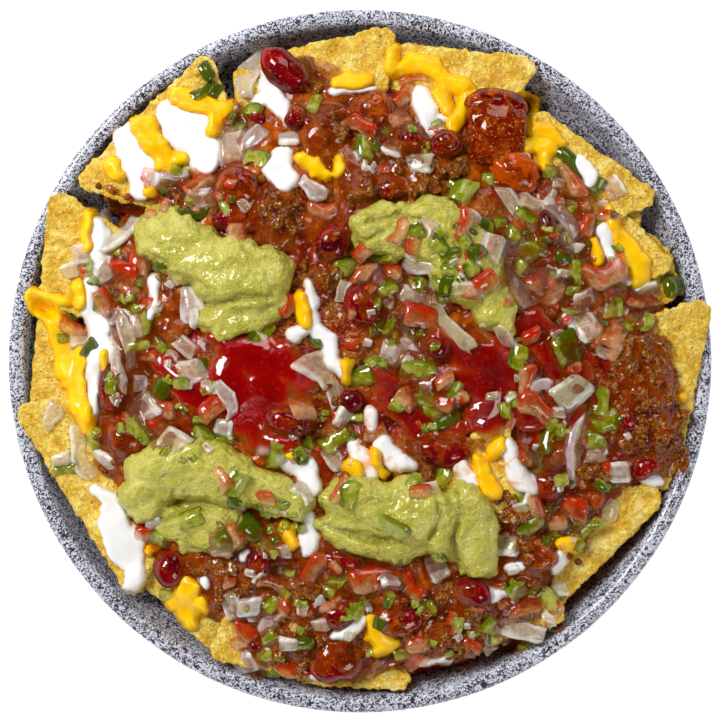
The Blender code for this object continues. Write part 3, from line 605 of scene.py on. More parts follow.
pourKit = {
    "step": 0.6,
    # each stroke is a row of middle and width
    "cream": [[(-66, 87, 12), (-61, 82, 17), (-55.5, 74, 13), (-53, 70, 8)],
              [(-82, 78.5, 10), (-78, 71, 13), (-75.5, 66, 12), (-77.5, 60, 7)], [(-75, 67, 8), (-71, 67, 4)],
              [(-92, 52, 5), (-92, 44, 7), (-93, 36, 6), (-95, 28, 5), (-93.5, 20, 9), (-92, 12, 8), (-92.5, 3, 8),
               (-94.5, -6, 7), (-94, -14, 4), (-95, -21, 2.5)], [(-88, 4, 3.5), (-88.5, -2, 3)],
              [(-72.5, 28, 5), (-72, 22, 3.5), (-74, 15, 2.5)],
              [(-33, 102.5, 3), (-31.5, 96, 8), (-28, 90, 7), (-25.5, 84, 3)], [(-32, 94, 6), (-36.5, 92.5, 4)],
              [(-27.5, 72, 7), (-28.5, 67.5, 10), (-26, 64.5, 9)], [(-8.5, 96, 3.5), (0, 95.2, 3), (5, 96.3, 2.5)],
              [(21.5, 94.5, 6), (24, 88, 8), (26.5, 82, 7)], [(25, 86, 5), (31.5, 85.7, 3)],
              [(56, 73.5, 4.5), (58.5, 72, 3)], [(78, 69.5, 6), (81.5, 65.5, 6), (80.5, 61.5, 4)],
              [(86, 46.5, 5), (88, 40, 5.5), (91, 33, 4.5)], [(73, 15, 4), (74.5, 11.5, 3)],
              [(-18, 27, 3.5), (-16.5, 19.5, 4.5), (-17, 12, 5.5), (-11.5, 6.5, 6.5), (-10, 0, 6.5), (-5.5, -4, 4)],
              [(-18, 11, 5), (-23, 9.5, 5)], [(3, -18, 4), (3.5, -23, 4)],
              [(-2, -29, 5), (1.5, -36, 8), (4, -42, 6)], [(8, -29, 7), (12, -35, 8), (18, -36.5, 5)],
              [(-34, -31, 4), (-27, -34, 6), (-19.5, -38, 9), (-17, -45, 6)],
              [(-19, -54, 3), (-17.5, -61, 6.5), (-18, -67, 4)],
              [(33, -34, 5), (38, -42, 6), (42, -48, 5)], [(52, -29, 5), (52.5, -35, 4.5), (56, -40, 8), (60, -44, 6)],
              [(-93.5, -46, 4), (-88, -49, 6), (-86.5, -57, 11), (-83, -66, 13), (-79.5, -73, 8), (-80, -78.5, 7)],
              [(-55, -78, 3.5)], [(-41, -69, 4), (-39, -67.5, 3)], [(-9.5, -97.5, 2.5), (-4, -95.5, 4), (1, -91, 3)],
              [(44, -80, 3.5), (48, -82.5, 5.5), (52, -81.5, 4)], [(53, -73, 3.5), (56, -72, 3)],
              [(71.5, -65.5, 3), (70.5, -69.5, 4.5), (69, -73, 3)], [(100.5, -42, 3), (106, -42.5, 3)],
              [(22, -106.5, 2.5), (31, -106, 2.5)], [(-17, -112, 2), (-11, -113, 2)]],
    "cheese": [[(-64.7, 94.4, 5.5), (-58, 91, 7), (-51, 89, 8), (-45.5, 90.5, 5)], [(-51, 88, 7), (-51, 81, 5)],
               [(-76.2, 83, 8), (-73, 76.5, 7), (-68.5, 70, 6.5), (-66, 67.5, 5)], [(-67, 69.5, 5), (-62, 71, 4.5)],
               [(-87.5, 69, 5), (-85.5, 65.5, 5)], [(-95.5, 52, 4), (-96, 46, 4), (-97, 40, 3.5)], [(-74, 60, 3.5)],
               [(-8, 98.5, 4.5), (-3, 99, 6), (3, 99.5, 5.5)],
               [(12.5, 110, 4), (12.5, 103, 5), (18, 105.5, 6.5), (26, 104, 6.5), (30, 99, 6.5), (37, 97, 7)],
               [(29, 96, 6), (31, 89, 4.5)], [(38, 94, 6), (36, 88, 4), (33.5, 82.5, 5)],
               [(-20, 71, 4.5), (-15.5, 67.5, 6), (-12, 65.5, 4.5)], [(-7.5, 71, 4), (-8, 66, 4)],
               [(56.5, 95, 2.5), (62.5, 93.5, 3), (61.5, 86, 3)], [(58, 86, 4), (61, 82.5, 6), (66, 81, 6), (71, 77, 4)],
               [(57, 77, 3.5), (62, 76.5, 5), (66.5, 75, 8), (65, 69.5, 4.5)],
               [(88, 54, 3), (90.5, 47, 5), (94, 41.5, 7), (98, 34, 8), (99.5, 28.5, 7.5)],
               [(82.5, 42, 3.5), (84, 35, 3.5)],
               [(-116, 23, 7), (-112, 18.5, 9), (-106.5, 12, 10), (-103.5, 3, 11), (-102, -4, 10), (-100.5, -12, 6.5),
                (-98, -17, 8), (-96.5, -23.5, 5)], [(-112, 22, 5), (-104, 21, 4)], [(-99.5, 26, 4.5), (-99, 20.5, 4.5)],
               [(-90.5, 2, 2.5), (-89.5, -3, 2)], [(-21, 22.5, 3.5), (-19.5, 17, 4), (-18.5, 12, 2.5)],
               [(-4.5, -1.5, 4), (-5, -6, 3)], [(-24, -33, 4)], [(-3, -37, 6), (-1, -43, 6)],
               [(5, -32, 2.5), (8, -39, 2.5)], [(48.5, -28, 5), (46, -32, 4)],
               [(41, -34, 3.5), (43, -41, 5), (47, -46.5, 5.5)],
               [(-26, -59, 5), (-24, -64, 5)], [(-74.5, -67.5, 4)], [(-60, -79, 6), (-62, -84, 9), (-61, -89, 9), (-60, -93, 5)],
               [(-66, -86, 6), (-57, -86.5, 6)],
               [(4.5, -91, 4), (6.5, -97, 8), (10, -100, 7), (6, -103, 4)], [(71, -64.5, 4.5), (76.5, -65, 5.5)],
               [(114, -13, 4.5)]],
}


def strokeDepth(x, y, strokes):  # how far inside the strokes a spot is
    deepest = np.full_like(x, -99.0)
    for stroke in strokes:
        ends = stroke if len(stroke) > 1 else stroke * 2
        for (ax, ay, aw), (bx, by, bw) in zip(ends, ends[1:]):
            span = max((bx - ax) ** 2 + (by - ay) ** 2, 1e-6)
            part = np.clip(((x - ax) * (bx - ax) + (y - ay) * (by - ay)) / span, 0, 1)
            depth = (aw + (bw - aw) * part) / 2 - np.hypot(x - ax - (bx - ax) * part, y - ay - (by - ay) * part)
            deepest = np.maximum(deepest, depth)
    return deepest


def pourOver(name, strokes, material, nodes, thick, drape, seed, roundness=2.6, sink=0.9, level=1.0):
    low = np.min([point[:2] for stroke in strokes for point in stroke], axis=0) - 12
    high = np.max([point[:2] for stroke in strokes for point in stroke], axis=0) + 12
    shape, x, y = sheetOver(low[0], high[0], low[1], high[1], pourKit["step"])
    depth = strokeDepth(x, y, strokes) + 0.5 + softNoise(x, y, 4.5, seed) * 1.1 + softNoise(x, y, 1.8, seed + 1) * 0.4
    swell = 1 - np.clip(depth / roundness, 0, 1)
    body = np.sqrt(np.clip(1 - swell ** 2, 0, 1))
    soft = ground.look(blur(crest(ground.height, level), drape), x, y)
    heights = soft + thick * body * (1 + softNoise(x, y, 7.0, seed + 2) * 0.25) - sink * (1 - body)
    layer = shape.verts.layers.float.new("thick")
    for vertex, value in zip(shape.verts, np.clip(depth / roundness / 1.5, 0, 1)):
        vertex[layer] = value
    closeSheet(shape, heights, depth > -0.7, 2.5)
    return addPiece(name, shape, material, nodes)


def creamFinish():
    finish = Finish("sour cream", Coat_Weight=0.3, Coat_Roughness=0.2, Roughness=0.35, Subsurface_Weight=0.35,
                    Subsurface_Radius=(2 * mm, 1.8 * mm, 1.5 * mm), Subsurface_Scale=1.0)
    edge = finish.clamp(finish.trait("thick") + (finish.cloud(2.0) - 0.5) * 0.35, 0.0, 0.2)
    colour = finish.blend(edge, paint(240, 210, 172), paint(247, 245, 243))
    away = finish.node("ShaderNodeVectorMath", {"operation": "DISTANCE"}, 1, i0=finish.place, i1=(28 * mm, -32 * mm, 45 * mm))
    stain = finish.clamp(finish.cloud(4.5, 3.0, 0.6, 0.5), 0.48, 0.72) * finish.clamp(away, 42 * mm, 30 * mm)
    colour = finish.blend(stain * 0.75, colour, paint(236, 160, 62))
    return finish.wear(Base_Color=colour, Normal=finish.bump(finish.cloud(5.0, 1.0), 0.25, 1.0))


def cheeseFinish():
    finish = Finish("cheese sauce", Coat_Weight=0.25, Coat_Roughness=0.08, Roughness=0.35, Specular_IOR_Level=0.2)
    shade = finish.cloud(5.0, 2.0)
    colour = finish.ramp(shade, (0.3, paint(252, 180, 0)), (0.55, paint(255, 200, 0)), (0.75, paint(255, 212, 2)))
    colour = finish.blend(finish.clamp(finish.trait("thick"), 0.24, 0.0) * 0.4, colour, paint(240, 156, 0))
    return finish.wear(Base_Color=colour, Normal=finish.bump(finish.cloud(5.0, 1.0), 0.3, 1.0))


creamNodes = sorted(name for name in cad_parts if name.startswith("cream_"))
cheeseNodes = sorted(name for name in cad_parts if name.startswith("cheese_"))
creamPiece = pourOver("creamPiece", pourKit["cream"], creamFinish(), creamNodes, 2.6, 1.6, 100)
ground.lay(creamPiece)
cheesePiece = pourOver("cheesePiece", pourKit["cheese"], cheeseFinish(), cheeseNodes, 3.0, 1.4, 110, 3.4)
ground.lay(cheesePiece)
print("sauces ready", len(creamPiece.data.polygons), len(cheesePiece.data.polygons))

# ---- red salsa pools ------------------------------------------------------

poolKit = {
    "pools": {
        "sauce_1": [[(-70, -1, 8), (-62, -7, 14), (-53, -14, 15), (-44, -18, 8)], [(-51, 8, 7), (-40, 2, 18), (-28, -1, 17),
                    (-20, -8, 11)], [(-46, -4, 16), (-41, -17, 18), (-36, -27, 11), (-25, -28, 8)],
                    [(-32, -10, 20), (-29, -20, 14)]],
        "sauce_2": [[(8, -4, 10), (14, -13, 14), (22, -22, 12), (33, -24, 8)], [(27, 7, 10), (36, 3, 13), (46, -1, 18),
                    (47, -14, 20), (44, -20, 14)], [(60, 12, 14), (68, 3, 16), (73, -8, 20), (71, -18, 15)],
                    [(50, 10, 12), (58, -8, 18), (60, -18, 14)], [(27, -6, 10), (38, -8, 14)]],
    },
    "colours": {"sauce_1": (paint(152, 2, 0), paint(124, 0, 0)), "sauce_2": (paint(132, 5, 0), paint(98, 0, 0))},
}


def salsaFinish(bright, dark):
    finish = Finish("red salsa", Coat_Weight=1.0, Coat_IOR=1.6, Coat_Roughness=0.03, Roughness=0.1, Specular_IOR_Level=0.1)
    thick = finish.trait("thick")
    depth = thick + (finish.cloud(11.0, 1.0) - 0.5) * 0.7
    colour = finish.ramp(depth, (0.0, paint(190, 92, 10)), (0.14, paint(176, 44, 2)), (0.32, bright), (0.9, dark))
    pulp = finish.clamp(finish.cloud(2.2, 1.0), 0.62, 0.72)
    colour = finish.blend(pulp * 0.25, colour, paint(215, 40, 4))
    crumpled = finish.clamp(finish.cloud(9.0, 1.0), 0.44, 0.6) + finish.clamp(thick, 0.8, 0.1)
    wave = finish.cloud(8.0, 1.0, 0.4, 0.4) + finish.cloud(1.8, 3.0, 0.6) * crumpled * 0.6
    return finish.wear(Base_Color=colour, Alpha=0.45 + finish.clamp(depth, 0.0, 0.35) * 0.55, Normal=finish.bump(wave, 0.4, 3.0))


salsaPieces = []
for poolNumber, (nodeName, strokes) in enumerate(poolKit["pools"].items()):
    salsaPieces.append(pourOver("salsaPiece_" + str(poolNumber + 1), strokes, salsaFinish(*poolKit["colours"][nodeName]), [nodeName],
                                (3.4, 2.4)[poolNumber], 4.0, 120 + poolNumber * 5, 8.0, 0.8, 2.0))
ground.lay(*salsaPieces)
print("salsa ready", sum(len(piece.data.polygons) for piece in salsaPieces))

# ---- loose pieces and mince -----------------------------------------------

def diceForm(stations, seed):  # a rounded bar of length, width and thickness 1
    ring = [(0.5, 0.28), (0.28, 0.5), (-0.28, 0.5), (-0.5, 0.28), (-0.5, -0.28), (-0.28, -0.5), (0.28, -0.5), (0.5, -0.28)]
    spots = []
    for along in stations:
        shrink = 0.78 if abs(along) > 0.49 else 1.0
        spots += [(along, y * shrink, z * shrink) for y, z in ring]
    faces = []
    count = len(ring)
    for station in range(len(stations) - 1):
        for corner in range(count):
            after = (corner + 1) % count
            faces.append((station * count + corner, station * count + after,
                          (station + 1) * count + after, (station + 1) * count + corner))
    faces.append(tuple(range(count - 1, -1, -1)))
    faces.append(tuple((len(stations) - 1) * count + corner for corner in range(count)))
    return np.array(spots), faces


class Pile:  # many small cut pieces gathered into one mesh
    def __init__(self, seed):
        self.rng = np.random.default_rng(seed)
        self.spots = []
        self.faces = []
        self.traits = {"across": [], "skin": [], "shade": [], "along": []}
        self.count = 0

    def add(self, form, x, y, length, width, thick, turn, bowl=0.0, bow=0.0, lift=0.12):
        rng = self.rng
        base, faces = form
        unit = base.copy()
        pull = rng.uniform(-0.2, 0.2, (2, 2, 2, 3))
        for corner in np.ndindex(2, 2, 2):
            share = np.prod([np.where(side, 0.5 + base[:, axis], 0.5 - base[:, axis]) for axis, side in enumerate(corner)],
                            axis=0)
            unit += share[:, None] * pull[corner]
        unit += rng.uniform(-0.035, 0.035, unit.shape)
        shaped = unit * (length, width, thick)
        if length > 1.6 * width:
            waist, sway = np.sin(unit[:, 0] * 7 + rng.uniform(0, 6)), np.sin(unit[:, 0] * 5 + rng.uniform(0, 6))
            shaped[:, 1] += unit[:, 1] * waist * width * 0.22 + sway * width * 0.14
        shaped[:, 1] += bow * length * (4 * unit[:, 0] ** 2 - 0.5)
        shaped[:, 2] -= bowl * width * (4 * unit[:, 1] ** 2 - 0.4) + abs(bow) * length * 0.25 * (4 * unit[:, 0] ** 2 - 0.4)
        spin = math.radians(turn)
        ux, uy = math.cos(spin), math.sin(spin)
        reachX, reachY = length * 0.32, width * 0.3
        ahead, behind = ground.at([x + ux * reachX, x - ux * reachX], [y + uy * reachX, y - uy * reachX])
        left, right = ground.at([x - uy * reachY, x + uy * reachY], [y + ux * reachY, y - ux * reachY])
        middle = float(ground.at(x, y))
        pitch = math.atan2(ahead - behind, 2 * reachX)
        roll = math.atan2(left - right, 2 * reachY)
        pitch = max(-0.5, min(0.5, pitch)) + rng.normal(0, 0.10)
        roll = max(-0.6, min(0.6, roll)) + rng.normal(0, 0.16)
        rest = 0.5 * middle + 0.125 * (ahead + behind + left + right)
        turned = Matrix.Rotation(spin, 3, "Z") @ Matrix.Rotation(-pitch, 3, "Y") @ Matrix.Rotation(roll, 3, "X")
        placed = shaped @ np.array(turned).T + (x, y, rest + thick * lift)
        self.spots.append(placed)
        self.faces += [tuple(corner + self.count for corner in face) for face in faces]
        self.count += len(placed)
        self.traits["across"].append(unit[:, 1])
        self.traits["along"].append(unit[:, 0] * length)
        self.traits["skin"].append(unit[:, 2] + 0.5)
        self.traits["shade"].append(np.full(len(placed), rng.uniform()))
        self.press(x, y, length, width, ux, uy, rest + thick * (lift + 0.35))

    def addCrumb(self, form, x, y, size):  # one rough lump of mince
        rng = self.rng
        base, faces = form
        shaped = base * rng.uniform(0.6, 1.4, 3) * (1 + rng.uniform(-0.3, 0.3, (len(base), 1)))
        rest = float(ground.at(x, y))
        placed = shaped * size + (x, y, rest + size * 0.05)
        self.spots.append(placed)
        self.faces += [tuple(corner + self.count for corner in face) for face in faces]
        self.count += len(placed)
        self.traits["across"].append(base[:, 1])
        self.traits["along"].append(base[:, 0])
        self.traits["skin"].append(base[:, 2] + 0.5)
        self.traits["shade"].append(np.full(len(placed), rng.uniform()))
        self.press(x, y, size, size, 1, 0, rest + size * 0.3)

    def press(self, x, y, length, width, ux, uy, top):  # later pieces lie on this one
        reach = max(length, width) / 2
        low = np.searchsorted(ground.line, (x - reach, y - reach))
        high = np.searchsorted(ground.line, (x + reach, y + reach))
        patchX = ground.acrossX[low[1]:high[1], low[0]:high[0]] - x
        patchY = ground.acrossY[low[1]:high[1], low[0]:high[0]] - y
        along = (patchX * ux + patchY * uy) / (length / 2)
        side = (-patchX * uy + patchY * ux) / (width / 2)
        inside = (np.abs(along) < 0.8) & (np.abs(side) < 0.8)
        patch = ground.height[low[1]:high[1], low[0]:high[0]]
        patch[inside] = np.maximum(patch[inside], top)

    def fused(self, name, material, voxel, rounds):  # all pieces grown together
        mesh = bpy.data.meshes.new(name)
        mesh.from_pydata(np.concatenate(self.spots).tolist(), [], self.faces)
        shape = bmesh.new()
        shape.from_mesh(mesh)
        bpy.data.meshes.remove(mesh)
        grown = remeshed(shape, voxel, rounds)
        spots = points(grown)
        push = lumps3d(spots, 1.3, 5) * 0.28 + lumps3d(spots, 2.6, 9) * 0.8
        setPoints(grown, spots + normals(grown) * push[:, None])
        return wrapPiece(name, grown, material)

    def build(self, name, material, slotName, sharp=None):
        mesh = bpy.data.meshes.new(name)
        mesh.from_pydata((np.concatenate(self.spots) * mm).tolist(), [], self.faces)
        for key, values in self.traits.items():
            flat = np.concatenate(values).astype(np.float32)
            mesh.attributes.new(key, "FLOAT", "POINT").data.foreach_set("value", flat)
        return wrapPiece(name, mesh, material, (), sharp)


minceKit = {"small": 1.6, "large": 5.6, "meaty": 0.62, "packed": 0.48, "sparse": 0.13, "voxel": 0.6}


def minceFinish():
    finish = Finish("mince", Coat_Weight=0.7, Coat_Roughness=0.05, Roughness=0.4, Specular_IOR_Level=0.0)
    fine = finish.cloud(0.9, 3.0, 0.7)
    crumbs = finish.cells(1.9, place=finish.shifted(1.6, 2.0))
    patch = finish.cloud(3.5, 2.0)
    # mince colour follows the fine noise that also makes the bumps: partly the meat's own tone, partly painted
    # highlight on the grain tops and painted shade in its hollows
    body = finish.ramp(fine, (0.30, paint(96, 38, 2)), (0.45, paint(146, 76, 9)), (0.58, paint(182, 106, 22)),
                       (0.72, paint(236, 172, 80)))
    body = finish.blend(finish.clamp(patch, 0.52, 0.7) * 0.5, body, paint(124, 40, 0))
    body = finish.blend(finish.clamp(patch, 0.42, 0.3) * 0.4, body, paint(186, 108, 24))
    # painted shade: darkened in the gaps between the crumb cells
    body = finish.blend(finish.clamp(crumbs, 0.45, 0.8) * 0.55, body, paint(66, 18, 0))
    relief = fine * 1.1 + finish.cloud(2.0, 2.0) * 0.4 + finish.clamp(crumbs, 0.8, 0.1) * 0.8
    return finish.wear(Base_Color=body, Normal=finish.bump(relief, 1.0, 1.2))


def buildMince():
    shape = bmesh.new()
    bmesh.ops.create_icosphere(shape, subdivisions=2, radius=0.5)
    form = (np.array([vertex.co for vertex in shape.verts]), [tuple(v.index for v in face.verts) for face in shape.faces])
    shape.free()
    pile = Pile(400)
    rng = np.random.default_rng(401)
    places = []
    for middleX, middleY, half, _, meaty, _ in heapKit["mounds"]:
        for _ in range(round(half ** 2 * minceKit["packed" if meaty >= minceKit["meaty"] else "sparse"])):
            away, angle = math.sqrt(rng.random()) * 1.1 * half, rng.uniform(0, math.tau)
            size = minceKit["small"] + (minceKit["large"] - minceKit["small"]) * rng.random() ** 2
            places.append((middleX + math.cos(angle) * away, middleY + math.sin(angle) * away, size))
    x, y, sizes = np.array(places).T
    covered = np.maximum(strokeDepth(x, y, pourKit["cream"]), strokeDepth(x, y, pourKit["cheese"]))
    for place in np.array(places)[covered < 0.5 - sizes / 2]:
        pile.addCrumb(form, *place)
    return pile.fused("mincePiece", minceFinish(), minceKit["voxel"], 1)


mincePiece = buildMince()
print("mince ready", len(mincePiece.data.polygons))

# ---- kidney beans ---------------------------------------------------------

beanKit = {
    "own": {"bean_01": 0.28, "bean_02": 0.5, "bean_03": 0.84, "bean_04": 0.6, "bean_05": 0.3, "bean_06": 0.3,
            "bean_07": 0.25, "bean_08": 0.3, "bean_09": 0.6, "bean_10": 0.05, "bean_11": 0.3, "bean_12": 0.35,
            "bean_13": 0.5, "bean_14": 0.4},  # how much sauce is on each
    "spots": {"bean_01": (-26, 103, 21, 12.5, 11, -38), "bean_02": (48, 90, 23, 11, 11, -6),
              "bean_03": (5, 89, 14, 13, 9, 30), "bean_04": (-43, 60, 16, 14, 10, -20),
              "bean_05": (-43, 50.5, 18, 11, 9, 8), "bean_06": (-9, 41, 14, 11.5, 9, 60),
              "bean_07": (1, 19.5, 16, 11, 9, -62), "bean_08": (-86.5, -9, 18, 9.5, 9, 84),
              "bean_09": (-82, -27, 15, 12, 9, -15), "bean_10": (-66.5, -73.5, 14, 10.5, 9, 74),
              "bean_11": (29, -31.5, 19, 10.5, 9, -8), "bean_12": (67, -43.5, 12, 10.5, 9, 50),
              "bean_13": (13.5, -91, 18, 11, 9, 0), "bean_14": (-8, -107, 20, 15, 11, 12)},
    # middle, length, width, thickness, turn, sauce
    "more": [(46.3, 80.6, 25, 21.5, 12, 82, 0.92), (54.5, 66, 18, 13, 8, -25, 1.4), (66.5, 46.5, 14, 7, 8, -72, 0.1),
             (40, -81.5, 13, 9, 8, -30, 0.05), (-7, -70, 15, 7, 7, -14, 0.35), (-35, -70.5, 11, 9, 8, 80, 0.3),
             (-8, -89, 11, 9, 8, 30, 0.3), (-80.5, 54.5, 11, 7, 7, 15, 0.2), (-3, -13.5, 8.5, 8, 7, 0, 0.1),
             (101, -38, 11, 8, 8, 30, 0.45), (18, 78, 10, 8, 8, -20, 0.4), (30, 76, 11, 9, 8, 10, 0.45),
             (-23, 86, 9, 7, 6, 60, 0.4), (64, -70.5, 12, 8, 8, 15, 0.85), (83, -48.5, 7, 6.5, 6, 0, 0.7),
             (-37, -101, 6, 5, 5, 0, 0.3), (11.5, -84, 12, 5, 6, -4, 0.6), (94, -21.5, 9, 8, 7, 0, 0.3),
             (-36, 86, 7, 5, 5, -50, 0.2), (11, 60, 10, 8, 7, 20, 0.5), (-17, 60, 9, 8, 7, 30, 0.5),
             (-2, 47, 9, 7, 6, -40, 0.3), (27, 5, 9, 8, 6, 0, 0.3),
             (-25, -21.5, 16, 9, 8, -15, 0.45)],
}


def beanFinish():
    finish = Finish("kidney bean", Coat_Weight=0.7, Coat_Roughness=0.05, Roughness=0.4, Specular_IOR_Level=0.0)
    sauce = finish.trait("sauce")
    skin = finish.ramp(finish.cloud(6.0, 2.0), (0.3, paint(62, 2, 14)), (0.55, paint(114, 2, 12)),
                       (0.75, paint(152, 14, 14)))
    film = finish.ramp(finish.cloud(3.5, 3.0), (0.3, paint(112, 28, 2)), (0.55, paint(158, 62, 4)),
                       (0.75, paint(198, 104, 14)))
    film = finish.blend(finish.clamp(sauce, 1.0, 1.3) * 0.6, film, paint(206, 78, 0))
    streak = finish.clamp(finish.cloud(3.0, 2.0, 0.5, 1.5), 0.35, 0.6)
    film = finish.blend(finish.clamp(sauce, 0.86, 0.9) * finish.clamp(sauce, 1.2, 1.0) * streak * 0.85, film, paint(104, 12, 2))
    cover = finish.clamp(sauce + (finish.cloud(5.0, 2.0, 0.5, 0.5) - 0.5) * 1.6, 0.45, 0.62)
    speck = finish.clamp(finish.cloud(0.9, 2.0), 0.60, 0.68) * (sauce * 0.8 + 0.15)
    colour = finish.blend(cover * 0.9, skin, film)
    colour = finish.blend(speck * finish.clamp(sauce, 1.3, 1.0), colour, paint(205, 125, 50))
    relief = cover * 0.5 + finish.cloud(1.2, 3.0, 0.6) * finish.clamp(sauce, 0, 0.9) * 0.9 + finish.cloud(4.0, 1.0) * 0.25
    relief = relief + finish.cloud(5.0, 2.0, 0.5, 1.0) * finish.clamp(sauce, 0.86, 0.9) * 1.6
    return finish.wear(Base_Color=colour, Normal=finish.bump(relief, 0.7, 1.0))


def beanShape(x, y, z, length, width, thick, turn, sauce, seed):
    shape = bmesh.new()
    bmesh.ops.create_icosphere(shape, subdivisions=4, radius=0.5)
    layer = shape.verts.layers.float.new("sauce")
    spin = Matrix.Rotation(math.radians(turn), 3, "Z")
    blocky = 0.86 < sauce < 1
    for vertex in shape.verts:
        spot = vertex.co
        bend = 0.10 * (1 - 4 * spot.x ** 2) * (1 if seed % 2 else -1)
        notch = 0.06 * math.exp(-((spot.x / 0.16) ** 2)) * max(0.0, -spot.y * 2 * (1 if seed % 2 else -1)) ** 2
        uneven = 1 + 0.05 * noise.noise(spot * 3 + Vector((seed, 0, 0))) + 0.12 * (sauce if sauce < 1 else 1.4) * noise.noise(
            spot * 6 + Vector((0, seed, 0)))
        if blocky:
            ridge = 0.05 * noise.noise(Vector((spot.x * 3, spot.y * 9, seed)))
            spot = Vector([math.copysign(abs(2 * part) ** 0.78 / 2, part) for part in spot]) * (1 + ridge)
        squared = 1 + 0.08 * (1 - (2 * spot.x) ** 2)
        fresh = Vector((spot.x * length, (spot.y * (1 - notch * 3) * squared + bend * 0.45) * width,
                        spot.z * thick)) * uneven
        vertex[layer] = sauce
        vertex.co = (spin @ fresh + Vector((x, y, z))) * mm
    bmesh.ops.recalc_face_normals(shape, faces=shape.faces)
    return shape


def buildBeans():
    finish = beanFinish()
    made = []
    for number, (name, spot) in enumerate(sorted(beanKit["spots"].items())):
        x, y, length, width, thick, turn = spot
        rest = float(np.mean(ground.at([x, x - 3, x + 3, x, x], [y, y, y, y - 3, y + 3])))
        shape = beanShape(x, y, rest + thick * 0.22, length, width, thick, turn, beanKit["own"][name], number)
        made.append(addPiece("beanPiece_" + name[-2:], shape, finish, [name]))
    for number, (x, y, length, width, thick, turn, sauce) in enumerate(beanKit["more"]):
        rest = float(np.mean(ground.at([x, x - 2, x + 2, x, x], [y, y, y, y - 2, y + 2])))
        shape = beanShape(x, y, rest + thick * 0.15, length, width, thick, turn, sauce, number + 20)
        made.append(addPiece("moreBean_" + str(number + 1), shape, finish))
    return made


beanPieces = buildBeans()
ground.lay(*beanPieces)
print("beans ready")

# ---- thin sauce between the pieces ----------------------------------------

filmKit = {
    "step": 0.8, "level": 0.4,
    # thick sauce over beans and mince: rows of middle and width
    "gravy": [[(-22, 104, 7), (-13, 101, 10), (-9, 93, 13), (-11, 84, 14), (-11, 76, 17), (-8, 68, 10)],
              [(-9, 92, 10), (-1, 90, 13)], [(-2, 86, 10), (6, 80, 11), (16, 76, 13), (26, 74, 13), (34, 77, 11)],
              [(0, 70, 14), (1, 62, 18), (-2, 52, 15), (-10, 42, 13)], [(22, 66, 14), (12, 66, 14)],
              [(50, 58, 10), (46, 62, 8)], [(58, 62, 8), (52, 68, 8)],
              [(-90, 60, 8), (-82, 55, 10)], [(-70, 58, 10), (-62, 58, 10)],
              [(-44, 60, 17), (-42, 51, 14), (-30, 56, 16), (-29, 45, 15), (-36, 37, 8)], [(-18, 50, 10), (-10, 54, 8)],
              [(-15, 32, 8), (-13, 24, 8)], [(-1, 28, 8), (4, 18, 13), (6, 8, 7)], [(-68, 24, 8), (-66, 12, 12)],
              [(-88, -2, 8), (-85, -14, 12), (-84, -27, 16), (-88, -36, 10)], [(-62, -22, 14), (-50, -25, 10)],
              [(-24, -20, 12), (-12, -18, 12)], [(20, -31, 10), (32, -31, 12), (40, -30, 6)],
              [(99, 3, 18), (104, -8, 18), (95, -12, 14), (105, -24, 19), (97, -30, 12), (110, -34, 12)],
              [(66, -44, 14), (56, -52, 12), (52, -62, 12)], [(-68, -72, 8), (-50, -74, 14), (-38, -72, 12)],
              [(-54, -84, 12), (-44, -80, 12)], [(-20, -88, 18), (-20, -100, 15)], [(-12, -88, 12), (10, -90, 16)],
              [(-8, -107, 20)], [(28, -98, 18), (34, -88, 16), (44, -88, 14)], [(38, -78, 14), (62, -70, 14)],
              [(-4, -78, 12), (8, -82, 12)], [(84, -44, 9), (78, -42, 8)]],
    # clear juice round the diced pieces
    "juice": [[(-94, 34, 12), (-82, 28, 18), (-78, 10, 20), (-80, -10, 14), (-70, -25, 12)],
              [(-50, 84, 16), (-40, 78, 14)], [(-66, 64, 10), (-54, 58, 10)], [(8, 84, 14), (14, 76, 18), (18, 68, 12)],
              [(52, 44, 14), (62, 46, 18), (76, 46, 20), (86, 32, 22), (98, 18, 22)],
              [(72, 62, 14), (82, 52, 14)], [(6, 28, 14), (18, 20, 18), (14, 8, 20), (22, -10, 18), (30, -18, 12)],
              [(60, 28, 22), (80, 16, 22), (62, -6, 14), (76, -12, 16), (84, -26, 18), (64, -36, 14)],
              [(78, -40, 14), (74, -54, 18), (62, -66, 16), (60, -80, 16), (54, -96, 18)],
              [(-4, -28, 12), (-12, -34, 10)], [(-36, -86, 18), (-36, -104, 16)], [(-30, -72, 14), (-4, -76, 18), (16, -78, 14)],
              [(-48, -64, 14), (-32, -66, 12)], [(14, -104, 16), (-2, -108, 10)], [(28, -72, 12), (26, -88, 10)]],
}


def filmOver(name, strokes, material, drape, thick, sink, seed, clearOf=()):
    low = np.min([point[:2] for stroke in strokes for point in stroke], axis=0) - 12
    high = np.max([point[:2] for stroke in strokes for point in stroke], axis=0) + 12
    shape, x, y = sheetOver(low[0], high[0], low[1], high[1], filmKit["step"])
    depth = strokeDepth(x, y, strokes) + softNoise(x, y, 6.0, seed) * 2.2 + softNoise(x, y, 2.5, seed + 1) * 0.8
    for rows in clearOf:
        depth = np.minimum(depth, -strokeDepth(x, y, rows) * 1.0 - 0.3 + softNoise(x, y, 3.0, seed + 2) * 0.8)
    body = np.clip((depth + 0.6) / 3.0, 0, 1)
    body = body * (2 - body)
    soft = ground.look(blur(crest(ground.height, filmKit["level"]), drape), x, y)
    heights = soft + thick * body - sink * (1 - body) + softNoise(x, y, 5.0, seed + 3) * 0.2
    layer = shape.verts.layers.float.new("thick")
    for vertex, value in zip(shape.verts, body):
        vertex[layer] = value
    closeSheet(shape, heights, depth > -0.6, 2.0)
    return addPiece(name, shape, material)


